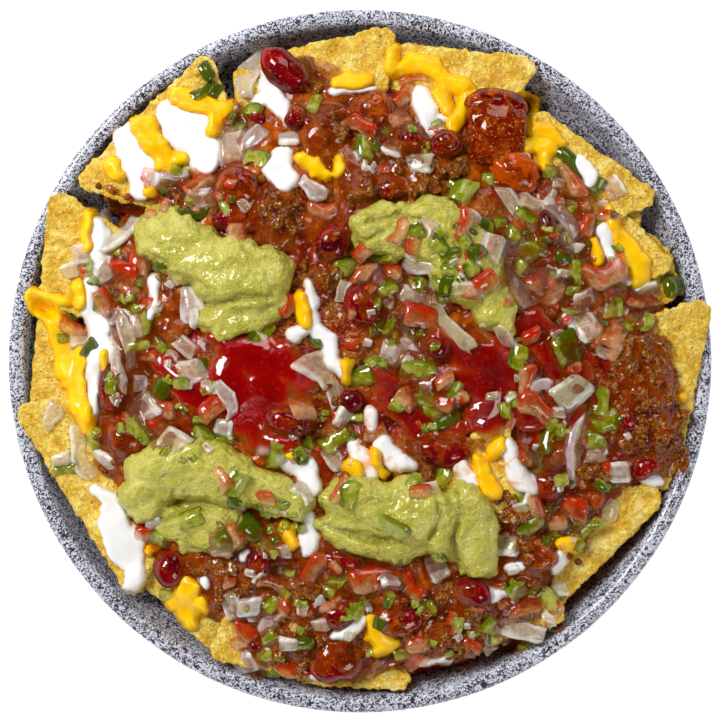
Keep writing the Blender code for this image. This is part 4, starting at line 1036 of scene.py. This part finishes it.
def filmFinish(name, light, deep, dark, least, most, grain):
    finish = Finish(name, Coat_Weight=0.8, Coat_Roughness=0.04, Coat_IOR=1.6, Roughness=0.3, Specular_IOR_Level=0.0)
    shade = finish.clamp(finish.cloud(5.0, 2.0) + (finish.trait("thick") - 0.5) * 0.2, 0.35, 0.65)
    fine = finish.cloud(0.8, 2.0)
    colour = finish.blend(shade, light, deep)
    colour = finish.blend(finish.clamp(finish.cloud(8.0, 2.0), 0.48, 0.62) * 0.75, colour, dark)
    colour = finish.blend(finish.clamp(fine, 0.6, 0.7) * grain, colour, paint(222, 128, 30))
    return finish.wear(Base_Color=colour, Alpha=least + shade * (most - least),
                       Normal=finish.bump(finish.cloud(2.6, 2.0) + fine * grain * 0.7, 0.4, 1.0))


gravyPiece = filmOver("gravyPiece", filmKit["gravy"],
                      filmFinish("gravy", paint(206, 100, 4), paint(144, 44, 0), paint(98, 14, 2), 0.2, 0.62, 0.6), 1.3, 0.15, 0.6, 500,
                      (pourKit["cream"], pourKit["cheese"]))
ground.lay(gravyPiece)
print("gravy ready", len(gravyPiece.data.polygons))

# ---- guacamole ------------------------------------------------------------

scoopKit = {
    "step": 0.6, "voxel": 0.62,
    # middle, half length, half width, rise, turn
    "lobes": {
        "guacamole_1": [(-62, 40, 19, 11, 12, -32), (-45, 30, 19, 12, 14, -28), (-34, 31, 10, 9, 11, -10),
                        (-43, 15.5, 15, 6, 8, 8), (-33, 19, 8, 6, 8, 20)],
        "guacamole_2": [(11, 46, 14, 10, 11, 12), (26, 45, 14, 12, 14, -25), (37, 34, 15, 12, 14, -50),
                        (46, 22, 11, 8, 11, -60), (50, 16, 7, 5, 9, -70)],
        "guacamole_3": [(-66, -37, 17, 10, 13, 16), (-76, -47, 10, 8.5, 11, 35), (-50, -41, 17, 11, 13, -18),
                        (-31, -47, 14, 7, 10, -14), (-55, -58, 17, 9, 8.5, -8)],
        "guacamole_4": [(4, -50, 16, 9, 12, -6), (19, -53, 13, 12, 14, 0), (5, -62, 20, 7, 9, -14),
                        (28, -58, 7, 13, 12, 5), (39.5, -60, 17, 8.5, 11, -72)],
    },
    # dents drawn with the spoon: rows of middle and width
    "creases": {
        "guacamole_1": [[(-60, 20, 1.5), (-52, 19.5, 2.2), (-42, 21.5, 2.2), (-31, 22.5, 1.2)]],
        "guacamole_2": [[(2, 48, 1), (14, 51, 1.8), (24, 48, 1.2)], [(0, 41, 1), (8, 45, 1.4)]],
        "guacamole_3": [[(-77, -58.5, 1.5), (-66, -54.5, 2.2), (-56, -49.5, 2.2), (-41, -52, 1.6)]],
        "guacamole_4": [[(-12, -57.5, 1.4), (-2, -60.5, 3), (7, -62.5, 3), (14, -63, 1)],
                        [(33, -46, 1.5), (35, -54, 2), (32.5, -62, 2), (35, -73, 1.5)],
                        [(26, -46, 1), (28, -54, 1.6), (24, -62, 1)]],
    },
}


def guacamoleFinish():
    finish = Finish("guacamole", Coat_Weight=0.6, Coat_Roughness=0.14, Roughness=0.4, Subsurface_Weight=0.3,
                    Subsurface_Radius=(1.5 * mm, 1.8 * mm, 0.4 * mm), Subsurface_Scale=1.0)
    wide = finish.cloud(9.0, 2.0)
    grain = finish.cloud(0.9, 3.0, 0.65)
    colour = finish.ramp(wide, (0.3, paint(176, 169, 38)), (0.5, paint(198, 190, 64)), (0.7, paint(214, 205, 98)))
    # the fine grain also makes the bumps: lighter on its tops and darker in its hollows, partly the avocado's own
    # flecks, partly painted highlight and painted shade
    colour = finish.blend(finish.clamp(grain, 0.5, 0.7) * 0.6, colour, paint(228, 222, 130))
    colour = finish.blend(finish.clamp(grain, 0.42, 0.28) * 0.35, colour, paint(150, 144, 24))
    # painted shade: darker down in the spoon creases
    dark = finish.clamp(finish.trait("crease"), 0.2, 1.0)
    colour = finish.blend(dark * 0.5, colour, paint(120, 112, 14))
    relief = grain * 0.8 + finish.cloud(2.6, 2.0, 0.5, 0.6) * 0.8
    return finish.wear(Base_Color=colour, Normal=finish.bump(relief, 1.0, 1.2))


def buildScoop(name, seed):
    lobes = scoopKit["lobes"][name]
    low = np.min([(lobe[0] - lobe[2], lobe[1] - lobe[2]) for lobe in lobes], axis=0) - 3
    high = np.max([(lobe[0] + lobe[2], lobe[1] + lobe[2]) for lobe in lobes], axis=0) + 3
    shape, x, y = sheetOver(low[0], high[0], low[1], high[1], scoopKit["step"])
    soft = ground.look(blur(ground.height, 4.0), x, y)
    wobbleX = x + softNoise(x, y, 7.0, seed) * 1.8 + softNoise(x, y, 2.5, seed + 1) * 0.8
    wobbleY = y + softNoise(x, y, 7.0, seed + 2) * 1.8 + softNoise(x, y, 2.5, seed + 3) * 0.8
    body = np.zeros_like(x)
    ridge = np.zeros_like(x)
    for lobeX, lobeY, halfLong, halfWide, rise, turn in lobes:
        cosine, sine = math.cos(math.radians(turn)), math.sin(math.radians(turn))
        along = ((wobbleX - lobeX) * cosine + (wobbleY - lobeY) * sine) / halfLong / 1.08
        across = (-(wobbleX - lobeX) * sine + (wobbleY - lobeY) * cosine) / halfWide / 1.12
        dome = rise * np.clip(1 - (along ** 2 + across ** 2) ** 1.5, 0, 1) ** 0.5
        top = dome > body
        ridge = np.where(top, softNoise(along * halfLong, across * halfWide * 3, 9.0, seed + 4), ridge)
        mix = np.clip(2.5 - np.abs(body - dome), 0, None) ** 2 / 10
        body = np.maximum(body, dome) + mix * (np.minimum(body, dome) > 0)
    crease = np.clip(strokeDepth(x, y, scoopKit["creases"][name]) + 1.0, 0, 2.0) / 2.0
    heights = soft - 1.5 + body + ridge * 0.9 * np.clip(body / 4, 0, 1) - crease * 3.0
    closeSheet(shape, heights, body > 0.4, 4.0)
    bmesh.ops.scale(shape, vec=(1 / mm, 1 / mm, 1 / mm), verts=shape.verts)
    mesh = remeshed(shape, scoopKit["voxel"], 3)
    spots = points(mesh)
    push = lumps3d(spots, 5.0, seed) * 0.4 + lumps3d(spots, 2.2, seed + 3) * 0.22 + lumps3d(spots, 1.1, seed + 5) * 0.15
    spots += normals(mesh) * push[:, None]
    setPoints(mesh, spots)
    dents = np.clip(strokeDepth(spots[:, 0], spots[:, 1], scoopKit["creases"][name]) + 1.2, 0, 2.2) / 2.2
    mesh.attributes.new("crease", "FLOAT", "POINT").data.foreach_set("value", dents.astype(np.float32))
    return wrapPiece(name.replace("_", "Piece_"), mesh, guacamole, [name])


guacamole = guacamoleFinish()
scoopPieces = [buildScoop(name, 200 + 20 * number) for number, name in enumerate(scoopKit["lobes"])]
ground.lay(*scoopPieces)
print("guacamole ready", sum(len(piece.data.polygons) for piece in scoopPieces))

# ---- diced onion, pepper and tomato ---------------------------------------

diceKit = {
    # middle, length, width, turn
    "pepper": [(-55.8, 95.8, 11, 5, 35), (-51.4, 95.2, 6, 5, 60), (-54.7, 102.3, 6.5, 4.5, -60), (-41.1, 87.4, 7, 5, 20),
               (-42.4, 83.3, 6.5, 5, 30), (-37, 88.5, 5, 4, 0), (-45.2, 85.7, 4, 3, 50), (-63.1, 66.7, 7, 4, -20),
               (-57.7, 51.5, 10.5, 4, 5), (1.7, 75.1, 8, 6.5, 90), (7.4, 74.3, 6, 3.5, -20), (-16.5, 90, 6.5, 4.5, 70),
               (-36.6, 71.3, 8.5, 5, -15), (34.8, 60.7, 8.5, 7, -40), (19, 45, 6, 5, 20), (27.8, 39.5, 6, 5, -40),
               (36.5, 60.2, 9, 6.5, 60), (45.5, 64.3, 4.5, 4, 0), (59.4, 50.6, 9, 3.5, -30), (74.3, 69.4, 13.5, 4.5, -58),
               (67.5, 66.7, 6, 4.5, -20), (83.8, 61.3, 8, 4.5, 40), (84.4, 50.4, 5, 3, 70), (74.3, 54.8, 6.5, 4, -50),
               (60.5, 40, 9.5, 8, 20), (52.9, 42.8, 8.5, 5, 60), (44.7, 46.6, 6, 5, 80), (-95.4, 33.2, 5, 2.5, 90),
               (-87, 38, 5.5, 3, 20), (-84.8, 22, 6.5, 4, 0), (-81, 22, 4, 3.5, 0), (-79.4, 18, 6, 5, 40),
               (-75.3, 13.6, 7.5, 3, -80), (-77.2, 5.5, 7.5, 5, 10), (-70.2, 5.5, 8.5, 5.5, -50),
               (-102.5, 16.9, 6.5, 5, -70), (-105.5, 8.2, 4, 3.5, 0), (-95.7, 4.4, 7, 4.5, 52), (-70.2, -11.4, 11, 7.5, 60),
               (-77.2, -23.3, 12, 7.5, -42), (-55, -1.6, 5, 4, 90), (-62, -7.6, 5, 4, 0), (-94, -27, 7.5, 6.5, 80),
               (-55.5, -25.5, 8, 5, -30), (-47.3, -27.1, 6.5, 4.5, 0), (-104.4, -38.3, 9, 4, 15), (-5.1, 32.6, 9.5, 7, 10),
               (9.8, 25, 7.5, 5, 20), (8.2, 35.4, 9.5, 4.5, 15), (10.4, 12, 9.5, 5, 50), (20.1, 9.3, 7, 4, 10),
               (28.3, 26.6, 7.5, 4, -40), (12, 6, 6, 4, -10), (20.1, -3.2, 11.5, 7.5, -10), (33.2, -10.3, 6.5, 4.5, 60),
               (22.3, -13, 7.5, 6, 70), (25, -17.4, 7.5, 4.5, -20), (29.9, -20.6, 8.5, 5.5, 30), (0, -6, 9.5, 6.5, 15),
               (-1.3, -19.5, 4, 3.5, 0), (-8.7, -27.1, 12, 6.5, 30), (-29.3, -33, 9.5, 5.5, 75), (-15.2, 6.5, 4.5, 4, 0),
               (-34.2, 10.4, 8.5, 6, 50), (71.3, 37, 6.5, 5.5, 0), (76.2, 31.5, 8.5, 4.5, -70), (31.7, 37, 7, 4.5, 20),
               (38.7, 32.6, 6.5, 5, -50), (30.6, 26, 8.5, 5, 80), (75.1, 25, 5.5, 4.5, 0), (89.3, 18, 7, 6.5, 0),
               (95.8, 13.6, 8.5, 6, 40), (101.2, 13, 7.5, 5, 60), (74, 17.4, 7, 3.5, 10), (72.4, 5, 10, 9, -70),
               (55.6, 1.7, 8.5, 6.5, 80), (85.5, -14.6, 8.5, 4.5, 80), (86.5, -20, 10, 8, 30), (82.7, -27.7, 7, 6.5, 5),
               (65.9, -28.2, 9.5, 5, 60), (63.2, -34, 7.5, 3.5, 75), (111.5, 27.2, 9.5, 7.5, 10), (-43, -43.7, 9.5, 8, 60),
               (-44, -49, 4.5, 4, 30), (-59.3, -55, 9, 6.5, 20), (-70.7, -62.7, 7, 6.5, 80), (-47.9, -62.2, 6.5, 6, 30),
               (-38, -59.5, 9.5, 7.5, -40), (-68, -82.8, 6.5, 4, 20), (-33, -64.4, 8.5, 6, -40), (-27.7, -50, 4.5, 3.5, 0),
               (-26, -74.1, 7.5, 3.5, -8), (-7, -76.8, 8.5, 4.5, 20), (27.8, -68.7, 5, 4, -50), (24, -85.5, 8.5, 4.5, -38),
               (-1.6, -87.7, 7.5, 4.5, 20), (-31.5, -86, 5.5, 5, 40), (-19.5, -99.7, 5.5, 5, 0), (-31.5, -98, 6.5, 5, 30),
               (-33, -103.5, 6.5, 6, 0), (-32.6, -110, 7.5, 5, 5), (-3.8, -47, 9.5, 5.5, 70), (10.4, -56.7, 12.5, 7, -40),
               (18.5, -42, 6, 4, 50), (29.4, -40.4, 7, 5, 60), (59.9, -56.7, 8.5, 6, 45), (66.4, -53, 6, 5, 0),
               (74.6, -59, 6, 4.5, 0), (80.6, -57.8, 9.5, 5.5, 42), (75.7, -61, 5.5, 3.5, 10), (65.4, -64.3, 7.5, 5, 60),
               (55, -80.6, 7.5, 6, 30), (60.5, -82.8, 5.5, 3, 80), (67, -83.9, 10, 4.5, -72), (43.6, -94.2, 8.5, 4.5, 40),
               (48, -98, 5.5, 5, 0), (65.9, -95.3, 8, 4, -5), (60.5, -100.7, 8, 4.5, 30), (15, -104, 6, 5, 0),
               (31, 31, 7, 5, 0), (41, 38, 7, 5, 30), (36, 42, 6, 4.5, -60), (56, 33, 6, 4.5, 45), (49, 49, 5.5, 4, 0)],
    "onion": [(-46, 76.5, 14, 10, 100), (-37.6, 78.7, 11, 7, 40), (-38, 103, 19, 8.5, 65), (-66.4, 64, 9.5, 5, 10),
              (-54.7, 56.9, 9.5, 6, 5), (-84.6, 45.3, 18.5, 5.5, 48), (-99.5, 37.6, 8, 7, 10), (20.4, 69.7, 9.5, 7, 0),
              (-25, 78.7, 7, 6, 0), (-16.3, 60.2, 10, 5, -25), (24, 47.2, 6.5, 4, -60), (54, 54.2, 20, 5, -50),
              (60.5, 55.3, 9.5, 5, -20), (71.3, 51.5, 19, 7, -55), (89.8, 61.3, 7.5, 6, -60), (46.3, 40, 10, 8, 70),
              (39.8, 50.4, 8.5, 4, -50), (-101.7, 32, 7, 5.5, 20), (-90.3, 32, 9, 8, 30), (-85, 15.8, 7.5, 6.5, 0),
              (-78.8, 12.5, 11, 8, 80), (-85, 1, 22, 5, -78), (-81.6, 5, 18, 5, -84), (-59.8, 20, 13, 8, -55),
              (-57.7, 14.7, 6, 4.5, -70), (-100, 7.6, 7, 4.5, 10), (-76.7, -15.7, 11, 9, 30), (-77.2, -8.1, 6.5, 6, 0),
              (-59.3, -3.8, 9.5, 9, 20), (-46.3, -13.6, 12, 4.5, -70), (-61, 5, 8, 5, -40), (-64.7, -28.8, 9.5, 8.5, -30),
              (-47.6, -23.3, 6.5, 5.5, 80), (-109.3, -19.5, 9.5, 5, 72), (-98.4, -32, 16.5, 5.5, -76), (-106, -35.3, 7, 5, 20),
              (-90.3, -34.2, 8.5, 4.5, -30), (-6, 24.5, 7.5, 4, 75), (6.6, 30.5, 7.5, 5, 75), (18, 21.8, 9.5, 6.5, -30),
              (28.3, 17.4, 28, 6.5, -52), (21.2, 33.2, 12.5, 5.5, -14), (13.6, 3.8, 14.5, 9, -20), (-13.5, -4.9, 19, 8.5, -40),
              (-6, -20, 8, 5.5, 60), (-8.7, -34.2, 9.5, 6, -50), (74.6, 39.7, 8.5, 4.5, -5), (36, 25, 7, 4.5, 0),
              (51.2, 34.8, 9.5, 7, -60), (56.1, 23.4, 11, 7, -50), (52.9, 28.8, 7, 3.5, -80), (70.8, 28.8, 8.5, 6, 60),
              (100, 25, 9.5, 5, 15), (79, 21.8, 8.5, 7, 20), (79, 13.6, 12, 8, -60), (50.7, 8.7, 10.5, 5.5, -45),
              (63.7, -8.7, 7.5, 4.5, 0), (74, -9.8, 12, 10, 42), (69.7, -17.9, 4.5, 3.5, 0), (76.8, -31.5, 22, 6.5, 84),
              (82.7, -33.5, 6.5, 5.5, 0), (91, -39.3, 8, 7, 0), (-72.9, -57.3, 7, 5, 20), (-48.4, -67.6, 6, 3.5, -20),
              (-44.9, -86.1, 9.5, 7, -70), (-38, -87.2, 9.5, 7, -60), (-40.8, -107.3, 9.5, 7, 20), (-19.5, -46.4, 9.5, 4.5, -50),
              (-27.7, -66.5, 6.5, 5.5, 0), (10.4, -76.3, 8, 6, -70), (27.5, -73, 9.5, 7.5, -60), (-32.6, -93.1, 9.5, 7, 72),
              (-39, -86.6, 9, 6, 10), (-14, -93.1, 6.5, 5.5, 0), (-25.2, -99.7, 7.5, 5, 0), (24, -44.2, 6.5, 4.5, 0),
              (56.4, -51.3, 6, 4.5, 20), (88.7, -52.4, 9.5, 6.5, 70), (51.8, -63.8, 8.5, 8, 0), (70.8, -80.6, 6, 5.5, 0),
              (54.5, -94.2, 19, 6.5, -12), (52.3, -98.6, 6, 5.5, 80), (44.2, -100.7, 9.5, 4.5, -40), (11.5, 73.8, 8.5, 5, -20)],
    "tomato": [(-56, 62.4, 11.5, 6, 25), (-43, 43.9, 9.5, 7.5, -80), (-73.4, 51.5, 4.5, 3.5, 0), (-0.5, 83, 11.5, 6.5, -30),
               (14.2, 85.2, 8, 7, 0), (15.3, 93.9, 12, 5, 50), (19, 100.4, 9, 3.5, 10), (-13, 53.7, 11.5, 6.5, -15),
               (14.2, 45, 8.5, 4.5, 60), (18.5, 40, 5.5, 5, 80), (35.9, 46, 9.5, 4.5, 80), (0.6, 38.5, 7.5, 4.5, 60),
               (75.1, 63.5, 13.5, 5.5, -60), (88.7, 58.8, 5, 4, 0), (80, 48.8, 8.5, 5.5, 70), (86, 51.5, 5, 3.5, 0),
               (36.5, 48.2, 9, 4.5, 75), (-96.8, 31, 4, 3, 0), (-84.6, 30.5, 13, 9, -20), (-77.8, 33.2, 8.5, 7, 80),
               (-90.8, 21.2, 10.5, 7, -60), (-74, 1.7, 6.5, 4.5, 0), (-75.3, 20, 6.5, 4.5, 0), (-101.7, 11.4, 9, 6, -25),
               (-69, -17.4, 7.5, 6, 0), (-70.7, -22.8, 6.5, 6, 30), (-52.2, -16.3, 10.5, 7, 40), (1.1, 38, 6.5, 4.5, 45),
               (1.7, 29.9, 9, 6.5, 60), (12, 31.5, 6.5, 5.5, 0), (20.7, 15.2, 11.5, 7.5, -10), (29.4, -6.5, 7, 4.5, 30),
               (16.3, -13, 9, 7, -60), (29.9, -14.6, 9.5, 6.5, -20), (-20, -16.3, 9.5, 7.5, 0), (5, -25, 8.5, 4.5, 20),
               (-25.5, 19, 8.5, 4.5, 70), (43, 27.7, 9.5, 6, 40), (51.8, 36.4, 5.5, 3.5, 0), (60.5, 27.2, 8.5, 7, 0),
               (67.5, 23.9, 9.5, 7, 60), (86.5, 31, 15, 8, 20), (87, 25, 10.5, 4.5, -50), (100, 20.7, 13.5, 4.5, -5),
               (90.3, 9.8, 11.5, 10, 60), (89.3, 3.8, 7, 5.5, 60), (82.7, 8.7, 8, 6, 80), (59.4, 8.7, 8, 5, 20),
               (58.8, -6, 9.5, 5.5, -80), (61, -15.7, 12.5, 7, -25), (57.2, -33.7, 9.5, 6.5, 85), (71.3, -33, 10.5, 7, 25),
               (-47.3, -41.5, 8.5, 4.5, -75), (-76, -61, 6.5, 4.5, 0), (-43.5, -60.5, 8.5, 4.5, -70), (-40.8, -95.3, 8, 5.5, -40),
               (-37.6, -111, 5.5, 4.5, 0), (-32.3, -48, 7, 5, 0), (-29.8, -77.4, 13.5, 5.5, -12), (-16.3, -73, 14, 6.5, 60),
               (4.4, -77.4, 19, 8.5, -5), (18, -79.6, 11, 5.5, -45), (-26.6, -86.6, 8, 5, -60), (-24.4, -109.4, 12.5, 4.5, -20),
               (19, -105.6, 10, 5.5, 40), (20.7, -99.5, 7, 5.5, 0), (3.8, -108.4, 9.5, 5.5, 40), (-7, -44.8, 10.5, 5, 60),
               (20.7, -45.3, 7, 4.5, 0), (61, -50.8, 8.5, 5.5, -75), (75.1, -52.4, 9.5, 8.5, -15), (69.2, -56.7, 7.5, 6, 0),
               (58.8, -87.7, 12, 6, 5), (70.8, -95.3, 4, 3.5, 0), (39.3, -100.2, 8.5, 5.5, -20), (-42, -99, 7, 5, 20)],
    # middle, half sizes, number of little bits
    "zones": [(-80, 24, 16, 12, 34), (-72, -12, 22, 16, 40), (-42, 84, 8, 8, 12), (12, 78, 18, 12, 16), (-52, 56, 12, 8, 12),
              (28, 36, 18, 14, 24), (44, 30, 14, 18, 24), (72, 44, 20, 20, 50), (84, 18, 18, 16, 44), (12, 16, 18, 20, 46),
              (22, -12, 14, 14, 22), (60, -8, 16, 18, 12), (78, -32, 18, 16, 34), (-34, -88, 14, 20, 36), (-8, -78, 24, 10, 24),
              (14, -96, 24, 12, 20), (52, -92, 20, 10, 30), (66, -58, 18, 12, 34), (-36, -58, 16, 8, 16), (-12, -28, 16, 10, 20),
              (-58, -28, 12, 8, 10), (60, -80, 12, 10, 16), (-66, 62, 12, 8, 10)],
    "rings": 8,
}


def onionFinish():
    finish = Finish("onion", Coat_Weight=1.0, Coat_Roughness=0.04, Coat_IOR=1.7, Roughness=0.4, Specular_IOR_Level=0.0)
    across = finish.trait("across")
    shade = finish.trait("shade")
    lines = finish.node("ShaderNodeTexNoise", {"noise_dimensions": "2D"}, 0,
                        Vector=finish.node("ShaderNodeCombineXYZ", X=across * 4, Y=finish.trait("along") * 0.2 + shade * 50),
                        Scale=1.0, Detail=2.0)
    body = finish.ramp(shade, (0.0, paint(238, 226, 194)), (0.3, paint(232, 202, 162)), (0.55, paint(248, 242, 226)),
                       (0.75, paint(228, 206, 200)), (0.9, paint(214, 206, 160)), (1.0, paint(232, 190, 150)))
    rind = finish.clamp(finish.sum("ABSOLUTE", across + (finish.cloud(3.0, 2.0) - 0.5) * 0.3, 0.0), 0.22, 0.5)
    body = finish.blend(rind * 0.7, body, paint(255, 252, 244))
    edge = finish.clamp(across, 0.4, 0.5) * finish.clamp(shade, 0.35, 0.3)
    body = finish.blend(edge * 0.6, body, paint(190, 140, 168))
    low = finish.clamp(finish.trait("skin"), 0.4, 0.0)
    body = finish.blend(low * 0.4, body, paint(184, 118, 60))
    clear = finish.clamp(finish.cloud(3.5, 2.0) + (shade - 0.5) * 0.3, 0.3, 0.7)
    return finish.wear(Base_Color=body, Alpha=0.28 + clear * 0.24 + rind * 0.36 + finish.clamp(lines, 0.5, 0.8) * 0.08,
                       Normal=finish.bump(lines * 0.1 + finish.cloud(2.0, 2.0), 0.7, 1.0))


def pepperFinish():
    finish = Finish("green pepper", Coat_Weight=1.0, Coat_Roughness=0.04, Coat_IOR=1.6, Roughness=0.4, Specular_IOR_Level=0.0)
    shade = finish.trait("shade")
    flesh = finish.ramp(finish.cloud(2.5, 2.0) + (shade - 0.5) * 0.3, (0.3, paint(128, 136, 8)), (0.5, paint(160, 168, 28)),
                        (0.7, paint(200, 202, 94)))
    skin = finish.ramp(shade, (0.0, paint(72, 86, 0)), (0.5, paint(94, 106, 2)), (1.0, paint(122, 132, 10)))
    side = finish.trait("across") * 1.1 + (finish.cloud(2.0, 2.0) - 0.5) * 0.6 + finish.clamp(shade, 0.3, 0.0) * 0.9
    colour = finish.blend(finish.clamp(side, 0.16, 0.4), flesh, skin)
    low = finish.clamp(finish.trait("skin") + (finish.cloud(2.0) - 0.5) * 0.4, 0.45, 0.05)
    colour = finish.blend(low * 0.5, colour, paint(110, 84, 6))
    return finish.wear(Base_Color=colour, Alpha=0.6 + finish.clamp(side, 0.16, 0.4) * 0.25,
                       Normal=finish.bump(finish.cloud(2.0, 2.0), 0.6, 0.9))


def tomatoFinish():
    finish = Finish("tomato", Coat_Weight=1.0, Coat_Roughness=0.04, Coat_IOR=1.6, Roughness=0.4, Specular_IOR_Level=0.0)
    shade = finish.trait("shade")
    grain = finish.cloud(1.8, 2.0, 0.6)
    depth = finish.trait("across") * 0.9 + (finish.cloud(3.0, 2.0) - 0.5) * 1.2 + (shade - 0.5) * 0.5 + 0.42
    flesh = finish.ramp(depth, (0.05, paint(238, 176, 124)), (0.32, paint(222, 128, 72)), (0.6, paint(212, 82, 24)),
                        (0.84, paint(196, 38, 2)))
    low = finish.clamp(finish.trait("skin") + (finish.cloud(2.0) - 0.5) * 0.4, 0.5, 0.05)
    colour = finish.blend(low * 0.65, flesh, paint(142, 52, 2))
    return finish.wear(Base_Color=colour, Alpha=0.38 + finish.clamp(finish.cloud(3.5, 2.0), 0.3, 0.7) * 0.22 + finish.clamp(depth, 0.55, 0.9) * 0.3,
                       Normal=finish.bump(grain * 0.5 + finish.cloud(2.2, 1.0), 0.7, 1.1))


def buildDice():
    cube = diceForm((-0.5, -0.38, 0.0, 0.38, 0.5), 0)
    strip = diceForm((-0.5, -0.42, -0.25, 0.0, 0.25, 0.42, 0.5), 0)
    kinds = {"onion": Pile(301), "pepper": Pile(302), "tomato": Pile(303)}
    thickness = {"onion": 2.6, "pepper": 3.2, "tomato": 4.2}
    curl = {"onion": (0.04, 0.10), "pepper": (0.14, 0.03), "tomato": (0.02, 0.04)}
    rng = np.random.default_rng(300)
    names = list(kinds)

    def drop(kind, x, y, length, width, turn, scale=1.0):
        bowl, bow = curl[kind]
        slim = length > 1.6 * width
        kinds[kind].add(strip if slim else cube, x, y, length, width,
                        min(thickness[kind] * scale, width * 0.75), turn, bowl * rng.uniform(0.3, 1.4) * (-1, 1)[rng.random() < 0.7],
                        bow * rng.uniform(0.2, 1.3) * (-1, 1)[rng.random() < 0.5] if slim else 0.0)

    for zoneX, zoneY, halfX, halfY, amount in diceKit["zones"]:
        for _ in range(round(amount * 0.85)):
            away, angle = math.sqrt(rng.random()), rng.uniform(0, math.tau)
            length = rng.uniform(2.0, 5.2)
            kind = names[rng.choice(3, p=(0.26, 0.46, 0.28))]
            drop(kind, zoneX + math.cos(angle) * away * halfX, zoneY + math.sin(angle) * away * halfY, length,
                 length * rng.uniform(0.55, 0.95), rng.uniform(0, 180), 0.75)
    placed = [(kind, *spot) for kind in names for spot in diceKit[kind]]
    for index in rng.permutation(len(placed)):
        drop(*placed[index])
    finishes = {"onion": onionFinish(), "pepper": pepperFinish(), "tomato": tomatoFinish()}
    return [kinds[kind].build(kind + "Piece", finishes[kind], "heap", 50 if kind == "pepper" else None) for kind in names]


underDice = ground.height.copy()
dicePieces = buildDice()
ground.height = underDice
ground.lay(*dicePieces)
juicePiece = filmOver("juicePiece", filmKit["juice"],
                      filmFinish("juice", paint(190, 100, 16), paint(132, 46, 0), paint(92, 24, 0), 0.15, 0.48, 0.2), 1.0, -0.28, 0.6, 520,
                      (pourKit["cream"], pourKit["cheese"]))
print("dice ready", sum(len(piece.data.polygons) for piece in dicePieces))
